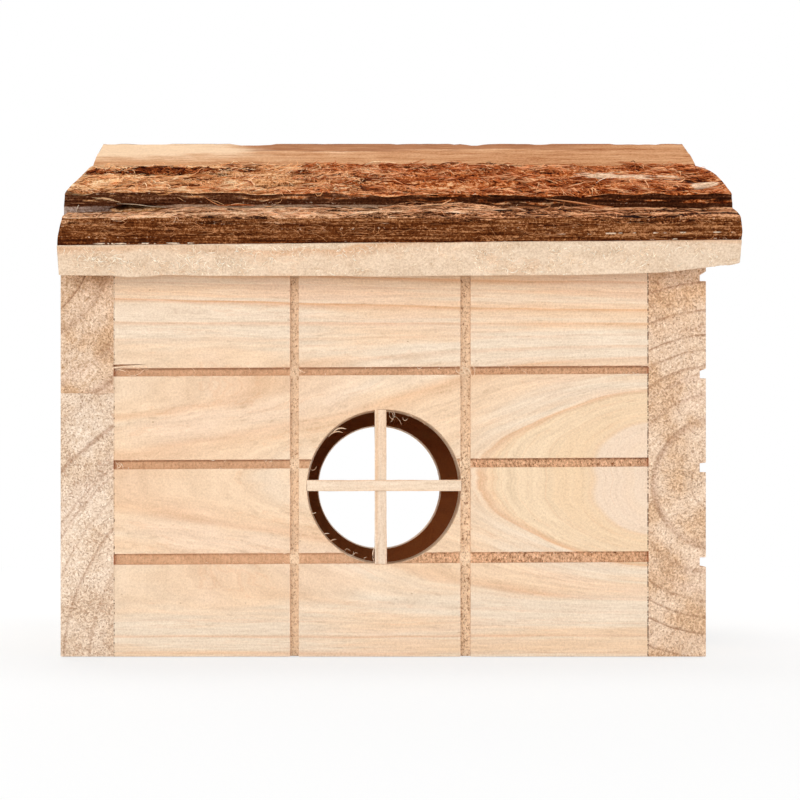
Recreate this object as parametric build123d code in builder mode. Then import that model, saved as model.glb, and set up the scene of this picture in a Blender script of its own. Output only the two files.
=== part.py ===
"""Wooden hamster house: four grooved pine walls with round barred windows and an arched doorway, under a
lift-off gable roof of two pine boards faced with bark strips.

+X runs along the ridge, with the doorway wall on the +X side. +Z is up. The origin is on the ground, below
the middle of the whole house. Lengths are in millimetres and angles in degrees.
"""

import os
from math import cos, radians, sin, tan

from build123d import *

# Body
body_length = 146.0  # over both gable walls, along the ridge
body_depth = 110.0  # over the front and back walls
left_stock = 12.0  # thickness of the plain gable wall
right_stock = 13.0  # thickness of the doorway wall
side_stock = 12.0  # thickness of the front and back walls
eave_height = 89.0  # from the ground to the roof's underside, at the face of a side wall
glue_line_height = 59.6  # where the plain gable wall's two boards meet

# Decorative saw grooves
groove_depth = 1.4
groove_tilt = 0.3  # the rows of the side walls climb a little towards the doorway wall
row_grooves = ((22.3, 2.4), (43.7, 2.0), (64.6, 1.8))  # height and width on the side walls
column_grooves = ((52.9, 1.9), (91.6, 2.2))  # distance from the plain gable wall's face, and width
facade_groove_width = 2.1
facade_row_heights = (21.4, 42.8, 64.0, 86.0)
facade_column_spacing = 38.9

# Windows and their bars
window_diameter = 35.0
front_window_from_left = 73.2  # centres, from the plain gable wall's face
back_window_from_left = 73.4
window_height = 38.4  # centre above the ground
bar_depth = 2.6
upright_bar_width = 2.6
front_upright_shift = -0.8  # from the window's centre, along +X
back_upright_shift = 0.6
cross_bar_width = 2.5
cross_bar_shift = 0.3  # from the window's centre, upwards
bar_end_gap = 0.05
lap_clearance = 0.05

# Doorway
door_width = 44.0
door_height = 54.0  # to the crown of its round arch

# Roof
roof_pitch = 23.4
roof_length = 149.8
roof_shift = 3.6  # the loose roof sits this far towards the doorway, from the body's middle
eave_overhang = 8.8  # lower edge of the roof boards, in front of a side wall's face
board_thickness = 7.3
roof_seat_gap = 0.15
strip_gap = 0.3
wane_length = 17.5  # the front board's lower edge rises over this length at the doorway end
wane_rise = 2.3
wane_reach = 8.0  # how far up the slope the wane goes

# Bark strips of each slope, from the eave to the ridge: width up the slope, then the thickness at the lower
# edge, at the middle and at the upper edge. The last strip's width is what is left.
front_strips = ((11.3, 5.8, 5.7, 5.2), (43.7, 8.2, 7.3, 4.6), (None, 4.7, 5.4, 5.8))
back_strips = ((14.0, 5.8, 6.2, 5.4), (36.0, 7.4, 7.6, 5.0), (None, 4.9, 5.6, 5.8))
strip_names = ("eave", "middle", "ridge")
furrowed_strip = "middle"
furrow_spacing = 14.0  # the furrowed strips' bark has furrows about this far apart, along the ridge
furrow_depth = 1.1

# Gable cleats inside the roof
cleat_thickness = 8.0
cleat_height = 20.0
cleat_half_width = 38.0
cleat_clearance = 0.2  # left between the cleat and the doorway wall, with the roof pushed over

# Brads
brad_radius = 0.6
brad_head_radius = 1.1
brad_head_thickness = 0.5
brad_clearance = 0.05
corner_brad_length = 24.0
corner_brad_heights = (11.0, 53.0, 75.0)
cleat_brad_length = 13.5
cleat_brad_distances = (10.0, 26.0)  # from the ridge, down the slope

# Places that follow from the sizes
slope = radians(roof_pitch)
half_depth = body_depth / 2
roof_right_overhang = (roof_length - body_length) / 2 + roof_shift
body_left = -(body_length + roof_right_overhang) / 2
body_right = body_left + body_length
body_middle = body_left + body_length / 2
room_left = body_left + left_stock
room_right = body_right - right_stock
room_length = room_right - room_left
front_window_x = body_left + front_window_from_left
back_window_x = body_left + back_window_from_left
window_radius = window_diameter / 2
door_radius = door_width / 2
door_spring_height = door_height - door_radius
ridge_height = eave_height + half_depth * tan(slope)  # the roof's underside at the ridge
eave_reach = half_depth + eave_overhang
eave_corner_height = ridge_height - eave_reach * tan(slope)
roof_left = body_middle + roof_shift - roof_length / 2
roof_right = roof_left + roof_length
cleat_right = room_right - cleat_clearance
cleat_left = room_left + cleat_clearance + 2 * roof_shift
corner_brad_points = [
    (side * (half_depth - side_stock / 2), height) for side in (-1, 1) for height in corner_brad_heights
]
cleat_brad_xs = (cleat_left + cleat_thickness / 2, cleat_right - cleat_thickness / 2)
left_face = Plane.YZ.offset(body_left)
right_face = Plane.YZ.offset(body_right)
to_ground = (Align.CENTER, Align.MIN)


def save(piece, name):
    """Name a finished piece and write it."""
    piece.part.label = name
    export_step(piece.part, f"parts/{name}.step")


def roof_point(side, along, above):
    """Y and Z of a point along the slope from the eave, and above the roof's underside."""
    reach = eave_reach - along * cos(slope) + above * sin(slope)
    return side * reach, eave_corner_height + along * sin(slope) + above * cos(slope)


def slope_length(above):
    """Length up the slope from the eave to the ridge, at a height above the roof's underside."""
    return (eave_reach + above * sin(slope)) / cos(slope)


def crown_points(side, edges, thicknesses, count):
    """Points over a strip's crown from its upper edge down, which dip into a number of furrows."""
    lower, middle, upper = thicknesses
    bulge = middle - (lower + upper) / 2
    points = []
    for index in range(2 * count, -1, -1):
        share = index / (2 * count)
        dip = furrow_depth if index % 2 else 0
        thickness = lower + (upper - lower) * share + 4 * bulge * share * (1 - share) - dip
        along = edges[0] + (edges[1] - edges[0]) * share
        points.append(roof_point(side, along, board_thickness + thickness))
    return points


def board_top(side):
    """Plane on a roof board's upper face, with its origin on the ridge and Y down the back slope."""
    ridge = (0, 0, ridge_height + board_thickness / cos(slope))
    return Plane(origin=ridge, x_dir=(1, 0, 0), z_dir=(0, side * sin(slope), cos(slope)))


def brads(plane, points, length, clearance, mode):
    """Brads with their heads in the plane, or the holes for them."""
    for radius, depth in ((brad_radius, length), (brad_head_radius, brad_head_thickness)):
        with BuildSketch(plane) as sections:
            with Locations(*points):
                Circle(radius + clearance)
        extrude(sections.sketch, amount=-depth - clearance, mode=mode)


def corner_brads(clearance, mode):
    """Brads through the gable walls into the ends of the side walls."""
    brads(right_face, corner_brad_points, corner_brad_length, clearance, mode)
    mirrored_points = [(-y, z) for y, z in corner_brad_points]
    outward_left = Plane(origin=(body_left, 0, 0), x_dir=(0, -1, 0), z_dir=(-1, 0, 0))
    brads(outward_left, mirrored_points, corner_brad_length, clearance, mode)


def cleat_brads(clearance, mode):
    """Brads through the roof boards into the cleats."""
    for side in (-1, 1):
        points = [(x, side * distance) for x in cleat_brad_xs for distance in cleat_brad_distances]
        brads(board_top(side), points, cleat_brad_length, clearance, mode)


def gable_outline(bottom):
    """Corners of a gable wall, in Y and Z, from a height up to the roof."""
    eave = eave_height - roof_seat_gap
    peak = ridge_height - roof_seat_gap
    return [(-half_depth, bottom), (half_depth, bottom), (half_depth, eave), (0, peak), (-half_depth, eave)]


# Walls
os.makedirs("parts", exist_ok=True)

with BuildPart() as left_wall_lower:
    with BuildSketch(left_face):
        Rectangle(body_depth, glue_line_height, align=to_ground)
    extrude(amount=left_stock)
    corner_brads(brad_clearance, Mode.SUBTRACT)
save(left_wall_lower, "left_wall_lower")

with BuildPart() as left_wall_upper:
    with BuildSketch(left_face):
        with BuildLine():
            Polyline(*gable_outline(glue_line_height), close=True)
        make_face()
    extrude(amount=left_stock)
    corner_brads(brad_clearance, Mode.SUBTRACT)
save(left_wall_upper, "left_wall_upper")

with BuildPart() as right_wall:
    with BuildSketch(right_face):
        with BuildLine():
            Polyline(*gable_outline(0), close=True)
        make_face()
    extrude(amount=-right_stock)
    with BuildSketch(right_face):
        Rectangle(door_width, door_spring_height, align=to_ground)
        with Locations((0, door_spring_height)):
            Circle(door_radius)
    extrude(amount=-right_stock, mode=Mode.SUBTRACT)
    with BuildSketch(right_face):
        for height in facade_row_heights:
            with Locations((0, height)):
                Rectangle(body_depth, facade_groove_width)
        for side in (-1, 1):
            with Locations((side * facade_column_spacing / 2, 0)):
                Rectangle(facade_groove_width, ridge_height, align=to_ground)
    extrude(amount=-groove_depth, mode=Mode.SUBTRACT)
    corner_brads(brad_clearance, Mode.SUBTRACT)
save(right_wall, "right_wall")

for side, wall_name, window_x, upright_shift in (
    (-1, "front", front_window_x, front_upright_shift),
    (1, "back", back_window_x, back_upright_shift),
):
    face = Plane.XZ.offset(-side * half_depth)  # local Y is up, and an amount times side goes inwards
    with BuildPart() as side_wall:
        with BuildSketch(face):
            with Locations((room_left, 0)):
                Rectangle(room_length, eave_height - roof_seat_gap, align=Align.MIN)
            with Locations((window_x, window_height)):
                Circle(window_radius, mode=Mode.SUBTRACT)
        extrude(amount=side * side_stock)
        with BuildSketch(face):
            for height, width in row_grooves:
                with Locations((body_middle, height)):
                    Rectangle(body_length + body_depth, width, rotation=groove_tilt)
            for distance, width in column_grooves:
                with Locations((body_left + distance, 0)):
                    Rectangle(width, eave_height, align=to_ground)
        extrude(amount=side * groove_depth, mode=Mode.SUBTRACT)
        corner_brads(brad_clearance, Mode.SUBTRACT)
    save(side_wall, f"{wall_name}_wall")

    # Two bars, half-lapped where they cross
    upright_x = window_x + upright_shift
    cross_z = window_height + cross_bar_shift
    with BuildPart() as cross_bar:
        with BuildSketch(face):
            with Locations((window_x, cross_z)):
                Rectangle(window_diameter, cross_bar_width)
            with Locations((window_x, window_height)):
                Circle(window_radius - bar_end_gap, mode=Mode.INTERSECT)
        extrude(amount=side * bar_depth)
        with BuildSketch(face.offset(side * bar_depth / 2)):
            with Locations((upright_x, cross_z)):
                Rectangle(upright_bar_width + 2 * lap_clearance, cross_bar_width)
        extrude(amount=side * bar_depth / 2, mode=Mode.SUBTRACT)
    save(cross_bar, f"{wall_name}_cross_bar")

    with BuildPart() as upright_bar:
        with BuildSketch(face):
            with Locations((upright_x, window_height)):
                Rectangle(upright_bar_width, window_diameter)
            with Locations((window_x, window_height)):
                Circle(window_radius - bar_end_gap, mode=Mode.INTERSECT)
        extrude(amount=side * bar_depth)
        with BuildSketch(face):
            with Locations((upright_x, cross_z)):
                Rectangle(upright_bar_width, cross_bar_width + 2 * lap_clearance)
        extrude(amount=side * bar_depth / 2, mode=Mode.SUBTRACT)
    save(upright_bar, f"{wall_name}_upright_bar")

with BuildPart() as brad_set:
    corner_brads(0, Mode.ADD)
save(brad_set, "corner_brads")

# Roof boards and bark, one slope at a time
for side, slope_name, strips, kept in (
    (-1, "front", front_strips, Keep.TOP),
    (1, "back", back_strips, Keep.BOTTOM),
):
    with BuildPart() as roof_board:
        with BuildSketch(Plane.YZ.offset(roof_left)):
            with BuildLine():
                Polyline(
                    roof_point(side, 0, 0),
                    roof_point(side, slope_length(0), 0),
                    roof_point(side, slope_length(board_thickness), board_thickness),
                    roof_point(side, 0, board_thickness),
                    close=True,
                )
            make_face()
        extrude(amount=roof_length)
        if side < 0:
            with BuildSketch(Plane.XZ.offset(eave_reach + board_thickness)):
                with BuildLine():
                    Polyline(
                        (roof_right - wane_length, eave_corner_height),
                        (roof_right, eave_corner_height),
                        (roof_right, eave_corner_height + wane_rise),
                        close=True,
                    )
                make_face()
            extrude(amount=-wane_reach - board_thickness, mode=Mode.SUBTRACT)
        cleat_brads(brad_clearance, Mode.SUBTRACT)
    save(roof_board, f"{slope_name}_roof_board")

    lower_edge = 0
    for name, (width, lower, middle, upper) in zip(strip_names, strips):
        ridge_length = slope_length(board_thickness + upper)
        upper_edge = ridge_length if width is None else lower_edge + width - strip_gap
        furrows = round((upper_edge - lower_edge) / furrow_spacing) if name == furrowed_strip else 0
        centre = (lower_edge + upper_edge) / 2
        with BuildPart() as strip:
            with BuildSketch(Plane.YZ.offset(roof_left)):
                with BuildLine():
                    Polyline(
                        roof_point(side, upper_edge, board_thickness + upper),
                        roof_point(side, upper_edge, board_thickness),
                        roof_point(side, lower_edge, board_thickness),
                        roof_point(side, lower_edge, board_thickness + lower),
                    )
                    if furrows:
                        Spline(*crown_points(side, (lower_edge, upper_edge), (lower, middle, upper), furrows))
                    else:
                        ThreePointArc(
                            roof_point(side, lower_edge, board_thickness + lower),
                            roof_point(side, centre, board_thickness + middle),
                            roof_point(side, upper_edge, board_thickness + upper),
                        )
                make_face()
            extrude(amount=roof_length)
            split(bisect_by=Plane.XZ, keep=kept)
        save(strip, f"{slope_name}_{name}_bark")
        lower_edge = upper_edge + strip_gap

# Gable cleats, which tie the slopes together and keep the roof between the gable walls
cleat_base = ridge_height - cleat_height
cleat_end = ridge_height - cleat_half_width * tan(slope)
for name, near_x in (("left_cleat", cleat_left), ("right_cleat", cleat_right - cleat_thickness)):
    with BuildPart() as cleat:
        with BuildSketch(Plane.YZ.offset(near_x)):
            with BuildLine():
                Polyline(
                    (-cleat_half_width, cleat_base),
                    (cleat_half_width, cleat_base),
                    (cleat_half_width, cleat_end),
                    (0, ridge_height),
                    (-cleat_half_width, cleat_end),
                    close=True,
                )
            make_face()
        extrude(amount=cleat_thickness)
        cleat_brads(brad_clearance, Mode.SUBTRACT)
    save(cleat, name)

with BuildPart() as brad_set:
    cleat_brads(0, Mode.ADD)
save(brad_set, "cleat_brads")
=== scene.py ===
import math
import random
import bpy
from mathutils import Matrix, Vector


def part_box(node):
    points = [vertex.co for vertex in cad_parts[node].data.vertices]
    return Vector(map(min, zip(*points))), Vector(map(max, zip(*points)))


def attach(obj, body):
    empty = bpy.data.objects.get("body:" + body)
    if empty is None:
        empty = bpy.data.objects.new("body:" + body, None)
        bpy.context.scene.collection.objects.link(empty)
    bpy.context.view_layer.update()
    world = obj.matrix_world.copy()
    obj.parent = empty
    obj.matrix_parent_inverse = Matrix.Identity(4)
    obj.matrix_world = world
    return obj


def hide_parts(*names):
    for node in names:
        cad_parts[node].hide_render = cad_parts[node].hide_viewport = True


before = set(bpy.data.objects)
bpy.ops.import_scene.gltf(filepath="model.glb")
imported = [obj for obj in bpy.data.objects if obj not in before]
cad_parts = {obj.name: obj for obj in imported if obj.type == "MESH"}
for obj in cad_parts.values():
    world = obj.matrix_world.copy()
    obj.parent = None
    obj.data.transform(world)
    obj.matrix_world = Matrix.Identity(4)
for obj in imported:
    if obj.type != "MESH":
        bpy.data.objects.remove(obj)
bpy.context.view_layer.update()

from types import SimpleNamespace

import bmesh
import bpy
from mathutils import Vector, noise
from mathutils.bvhtree import BVHTree

mm = 0.001
print("frame loaded")


def boxOf(node):
    return [[value / mm for value in corner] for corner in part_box(node)]


def wavy(*place):
    return noise.noise(Vector(place))


def ramp(value, start, end):
    share = min(1.0, max(0.0, (value - start) / (end - start)))
    return share * share * (3 - 2 * share)


def bow(share):
    return 4 * share * (1 - share)


house = {
    "left": boxOf("left_wall_lower")[0][0],
    "right": boxOf("right_wall")[1][0],
    "halfDepth": boxOf("right_wall")[1][1],
    "peak": boxOf("right_wall")[1][2],
}
house["middle"] = (house["left"] + house["right"]) / 2
roof = {
    "left": boxOf("front_roof_board")[0][0],
    "right": boxOf("front_roof_board")[1][0],
    "pitch": math.radians(23.4),
    "seatGap": 0.15,
    "eaveOverhang": 8.8,
    "board": 7.3,
}
roof["underRidge"] = house["peak"] + roof["seatGap"]
roof["reach"] = house["halfDepth"] + roof["eaveOverhang"]
roof["eaveHeight"] = roof["underRidge"] - roof["reach"] * math.tan(roof["pitch"])


def slopeFrame(side):
    rise, run = math.sin(roof["pitch"]), math.cos(roof["pitch"])
    eave = Vector((0, side * roof["reach"], roof["eaveHeight"]))
    return eave, Vector((0, -side * run, rise)), Vector((0, side * rise, run))


# Camera, lamps and floor colour

view = {
    "place": (-8.7, -446.0, 37.9),
    "lens": 77.8,
    "shift": (0.0538, 0.1113),
    "sky": (0.97, 0.985, 1.0, 1),
    "skyStrength": 0.52,
    "white": (1, 1, 1, 1),
    "floor": (0.95, 0.95, 0.945, 1),
}
# Place, the point a lamp faces, width and height, watts and colour
lamps = {
    "keyLamp": ((-240, -755, 160), (0, 0, 60), (620, 300), 2.1, (1.0, 0.985, 0.96)),
    "fillLamp": ((620, -420, 240), (0, 0, 60), (420, 420), 0.95, (1.0, 0.99, 0.98)),
    "backLamp": ((-200, 640, 420), (0, 0, 60), (620, 420), 2.0, (1.0, 0.99, 0.98)),
    "topLamp": ((60, 110, 760), (0, 0, 100), (520, 300), 2.3, (1.0, 0.99, 0.98)),
}


def makeCamera():
    data = bpy.data.cameras.new("camera")
    data.lens = view["lens"]
    data.shift_x, data.shift_y = view["shift"]
    camera = bpy.data.objects.new("camera", data)
    camera.location = [value * mm for value in view["place"]]
    camera.rotation_euler = (math.pi / 2, 0, 0)
    bpy.context.collection.objects.link(camera)
    bpy.context.scene.camera = camera


def makeLamp(name, place, target, size, power, color):
    data = bpy.data.lights.new(name, "AREA")
    data.shape = "RECTANGLE"
    data.size, data.size_y = size[0] * mm, size[1] * mm
    data.energy = power
    data.color = color
    lamp = bpy.data.objects.new(name, data)
    lamp.location = [value * mm for value in place]
    direction = Vector(target) - Vector(place)
    lamp.rotation_euler = direction.to_track_quat("-Z", "Y").to_euler()
    bpy.context.collection.objects.link(lamp)


def makeWorld():
    world = bpy.data.worlds.new("studio")
    bpy.context.scene.world = world
    world.use_nodes = True
    tree = world.node_tree
    tree.nodes.clear()
    path = tree.nodes.new("ShaderNodeLightPath")
    mix = tree.nodes.new("ShaderNodeMixShader")
    out = tree.nodes.new("ShaderNodeOutputWorld")
    tree.links.new(path.outputs["Is Camera Ray"], mix.inputs[0])
    for index, color, strength in ((1, view["sky"], view["skyStrength"]), (2, view["white"], 1.0)):
        light = tree.nodes.new("ShaderNodeBackground")
        light.inputs["Color"].default_value = color
        light.inputs["Strength"].default_value = strength
        tree.links.new(light.outputs[0], mix.inputs[index])
    tree.links.new(mix.outputs[0], out.inputs[0])


bpy.context.scene.view_settings.view_transform = "Standard"
makeCamera()
makeWorld()
for name, lamp in lamps.items():
    makeLamp(name, *lamp)
print("camera and lamps placed")


# Shader maths: a Wire is a socket that Python's operators work on


def linear(red, green, blue):
    values = []
    for value in (red, green, blue):
        value /= 255
        values.append(value / 12.92 if value <= 0.04045 else ((value + 0.055) / 1.055) ** 2.4)
    return (*values, 1.0)


class Wire:
    def __init__(self, finish, socket):
        self.finish = finish
        self.socket = socket

    def math(self, operation, *others):
        return self.finish.add("Math", {"operation": operation}, (self, *others))

    def __add__(self, other):
        return self.math("ADD", other)

    __radd__ = __add__

    def __mul__(self, other):
        return self.math("MULTIPLY", other)

    __rmul__ = __mul__

    def __sub__(self, other):
        return self.math("SUBTRACT", other)

    def __rsub__(self, other):
        return self.finish.add("Math", {"operation": "SUBTRACT"}, (other, self))

    def __truediv__(self, other):
        return self.math("DIVIDE", other)

    def root(self, other):
        return (self * self + other * other).math("SQRT")

    def vector(self, operation, *others, scale=None):
        inputs = dict(enumerate((self, *others)))
        if scale is not None:
            inputs["Scale"] = scale
        output = "Value" if operation in ("LENGTH", "DOT_PRODUCT") else "Vector"
        return self.finish.add("VectorMath", {"operation": operation}, inputs, output)

    def along(self, direction):
        return self.vector("DOT_PRODUCT", direction)


class Finish:
    def __init__(self, name, roughness=0.8, gloss=0.25):
        self.material = bpy.data.materials.new(name)
        self.material.use_nodes = True
        self.nodes = self.material.node_tree.nodes
        self.links = self.material.node_tree.links
        self.shader = self.nodes["Principled BSDF"]
        self.shader.inputs["Roughness"].default_value = roughness
        self.shader.inputs["Specular IOR Level"].default_value = gloss
        self.place = self.add("TexCoord", output="Object").vector("SCALE", scale=1 / mm)

    def add(self, kind, settings=None, inputs=(), output=0):
        made = self.nodes.new("ShaderNode" + kind)
        for key, value in (settings or {}).items():
            setattr(made, key, value)
        for key, value in inputs.items() if isinstance(inputs, dict) else enumerate(inputs):
            self.plug(made.inputs[key], value)
        return Wire(self, made.outputs[output])

    def plug(self, socket, value):
        if isinstance(value, Wire):
            self.links.new(value.socket, socket)
        else:
            socket.default_value = value

    def use(self, name, value):
        self.plug(self.shader.inputs[name], value)

    def noise(self, stretch, detail=3.0, roughness=0.5, shift=(0, 0, 0), place=None):
        placed = (place or self.place).vector("MULTIPLY", stretch).vector("ADD", shift)
        inputs = {"Vector": placed, "Scale": 1.0, "Detail": detail, "Roughness": roughness}
        return self.add("TexNoise", {}, inputs)

    def spots(self, stretch, shift):
        placed = self.place.vector("MULTIPLY", stretch).vector("ADD", shift)
        return self.add("TexVoronoi", {}, {"Vector": placed, "Scale": 1.0}, "Distance")

    def stops(self, value, stops):
        made = self.add("ValToRGB", {}, (value,))
        elements = made.socket.node.color_ramp.elements
        while len(elements) < len(stops):
            elements.new(0.5)
        for element, (position, color) in zip(elements, stops):
            element.position = position
            element.color = color
        return made

    def join(self, *parts):
        return self.add("CombineXYZ", {}, parts)

    def axes(self):
        apart = self.add("SeparateXYZ", {}, (self.place,))
        return [Wire(self, socket) for socket in apart.socket.node.outputs]

    def facing(self, direction):
        return self.add("NewGeometry", {}, {}, "Normal").along(direction)

    def attribute(self, name, output):
        return self.add("Attribute", {"attribute_name": name}, {}, output)

    def step(self, value, start, end, low=0.0, high=1.0):
        settings = {"interpolation_type": "SMOOTHSTEP"}
        return self.add("MapRange", settings, (value, start, end, low, high))

    def fall(self, value, start, end):
        return self.step(value, start, end, 1.0, 0.0)

    def blend(self, factor, first, second, mode="MIX"):
        settings = {"data_type": "RGBA", "blend_type": mode, "clamp_factor": True}
        return self.add("Mix", settings, {0: factor, 6: first, 7: second}, 2)

    def tone(self, color, shade):
        warm = self.add("CombineColor", {}, ((shade - 1) * 0.8 + 1, shade, (shade - 1) * 1.2 + 1))
        return self.blend(1.0, color, warm, "MULTIPLY")

    def bump(self, height, distance, strength):
        return self.add("Bump", {}, {"Height": height, "Distance": distance * mm, "Strength": strength})


class Grains:
    # A table's noises: scale along the three axes, detail, roughness, then two offsets beside the seed
    def __init__(self, finish, table, seed, place):
        for name, (first, second, third, detail, roughness, *offsets) in table.items():
            made = finish.noise((first, second, third), detail, roughness, (seed, *offsets), place)
            setattr(self, name, made)

    def mix(self, **weights):
        # Each noise counts from its middle, so it lightens as much as it darkens
        parts = [(getattr(self, name) - 0.5) * weight for name, weight in weights.items()]
        total = parts[0]
        for part in parts[1:]:
            total = total + part
        return total


# Pine: growth rings round a pith, streaks along the grain, pores on the end grain

pine = {
    "pale": linear(238, 218, 195),
    "warm": linear(240, 209, 177),
    "pink": linear(238, 208, 182),
    "late": linear(220, 156, 98),
    "endPale": linear(240, 211, 184),
    "endWarm": linear(234, 195, 158),
    "endGrey": linear(226, 192, 168),
    "endRing": linear(150, 98, 62),
    "endSpeck": linear(164, 112, 74),
    "cutAlong": linear(213, 165, 126),
    "cutAcross": linear(238, 206, 172),
    "cutDark": linear(158, 106, 70),
    "jointDark": linear(92, 56, 34),
    # painted shade: the house's inner faces are multiplied by this darker, warmer colour
    "inner": linear(196, 126, 76),
    "contrast": 0.8,
    "washShare": 0.55,
    "stepUp": (36, 40),
    # painted shade under the eave: heights between which the end grain darkens towards the top
    "eaveShadeBand": (79, 90),
    "heartEdge": 0.4,
}


def ringRadius(finish, along, across, depth, rings, warp):
    rise = across - rings["pith"][0] + warp * rings["wave"]
    inset = depth - rings["pith"][1]
    if "eye" not in rings:
        return rise.root(inset), rise.math("ARCTAN2", inset)
    # A flat-sawn face: the rings close round an eye at one end of the board
    eye = rings["eye"]
    off = rise.math("ABSOLUTE")
    far = along - eye["along"]
    blunt = off * eye["blunt"]
    reach = far.root(blunt) - blunt
    pull = 1 - (reach * (-1 / eye["length"])).math("EXPONENT")
    pull = pull * finish.fall(off, *eye["fade"]) * eye["pull"]
    off = off + far * eye["tilt"] * finish.step(rise, *pine["stepUp"])
    return (off * off + pull).math("SQRT"), inset * 0.02


def drawnLines(finish, radius, lines, span):
    stops = [(0.0, (0, 0, 0, 1))]
    for at, width, depth in lines:
        stops.append(((at - width * 0.9) / span, (0, 0, 0, 1)))
        stops.append((at / span, (depth, depth, depth, 1)))
        stops.append(((at + width * 0.25) / span, (0, 0, 0, 1)))
    return finish.add("RGBToBW", {}, (finish.stops(radius / span, stops),))


def ringLines(finish, radius, rise, rings, seed, wander):
    if "lines" in rings:
        late = drawnLines(finish, radius, rings["lines"], rings["span"])
        if "below" in rings:
            under = drawnLines(finish, radius, rings["below"], rings["span"])
            late = late + (under - late) * finish.fall(rise, -0.5, 0.5)
        return late * finish.step(wander, 0.25, 0.65, 0.6, 1.1)
    turns = radius / rings["spacing"]
    phase = turns.math("FRACT")
    luck = {"W": turns.math("FLOOR") + seed * 3.1}
    strength = finish.add("TexWhiteNoise", {"noise_dimensions": "1D"}, luck, "Value")
    soft = finish.step(phase, 0.30, 0.92)
    thin = finish.step(phase, 0.72, 0.93)
    line = (soft * soft * 0.4 + thin * 0.75) * finish.fall(phase, 0.93, 0.995)
    return line * finish.step(strength, 0.1, 0.9, 0.15, 1.0) * finish.step(wander, 0.25, 0.6, 0.5, 1.0)


def endGrain(finish, board, rings, tone):
    across, depth = board.across, board.depth
    ray = finish.join(board.angle * 60.0, board.radius * 0.5, depth * 0.2 + board.seed)
    rays = finish.noise((1, 1, 1), 3.0, 0.65, (0, 0, 0), ray)
    speckle = board.even(2.0, 2.0, 0.8)
    where = board.even(0.10, 2.0, 0.6)
    dark = finish.step(speckle + (rays - 0.5) * 0.7 + (where - 0.5) * 0.40, 0.56, 0.64)
    sawn = finish.join(across + depth, (across - depth) * 6.5, board.along)
    sawn = (board.even(0.16, 2.0, 0.6, sawn) - 0.5) * finish.step(where, 0.44, 0.30)
    color = finish.blend(finish.step(where, 0.36, 0.64), pine["endPale"], pine["endWarm"])
    color = finish.blend(finish.step(board.blush, 0.50, 0.64) * 0.5, color, pine["endGrey"])
    if "endWash" in rings:
        color = finish.blend(pine["washShare"], color, rings["endWash"])
    color = finish.blend(board.late * rings.get("endContrast", pine["contrast"]), color, pine["endRing"])
    color = finish.blend(dark * 0.5, color, pine["endSpeck"])
    shade = (rays - 0.5) * 0.8 + (board.grit - 0.5) * 1.7 + sawn + tone
    # painted shade under the eave: end grain darker towards the top
    shade = shade - finish.step(board.z, *pine["eaveShadeBand"]) * rings.get("eaveShade", 0.0)
    return color, shade, sawn * 1.5 - dark * 0.8


def grooveCut(finish, board, mark):
    cross = mark["cross"]
    torn = mark["torn"] * (1 - cross * 0.65)
    fuzz = board.even(2.0, 2.0, 0.85)
    fibres = board.grown(2.2, 0.7, 0.8)
    dots = finish.step(fuzz + (fibres - 0.5) * 0.5, 0.42, 0.34) * (torn * 0.5 + cross * 0.35 + 0.15)
    color = finish.blend(cross, pine["cutAlong"], pine["cutAcross"])
    color = finish.blend(dots, color, pine["cutDark"])
    # painted shadow under the groove's upper edge, in the groove's dark colour
    color = finish.blend(mark["burn"] * finish.step(fibres, 0.35, 0.55, 0.5, 0.8), color, pine["cutDark"])
    rough = (fuzz - 0.5) * (torn * 2.0 + cross * 1.1 + 0.7) + (fibres - 0.5) * (torn * 1.4 + 0.7)
    rough = rough - finish.step(fuzz, 0.55, 0.64) * cross * 0.26 + 0.05
    return color, rough, fuzz * 1.6 + fibres


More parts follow.
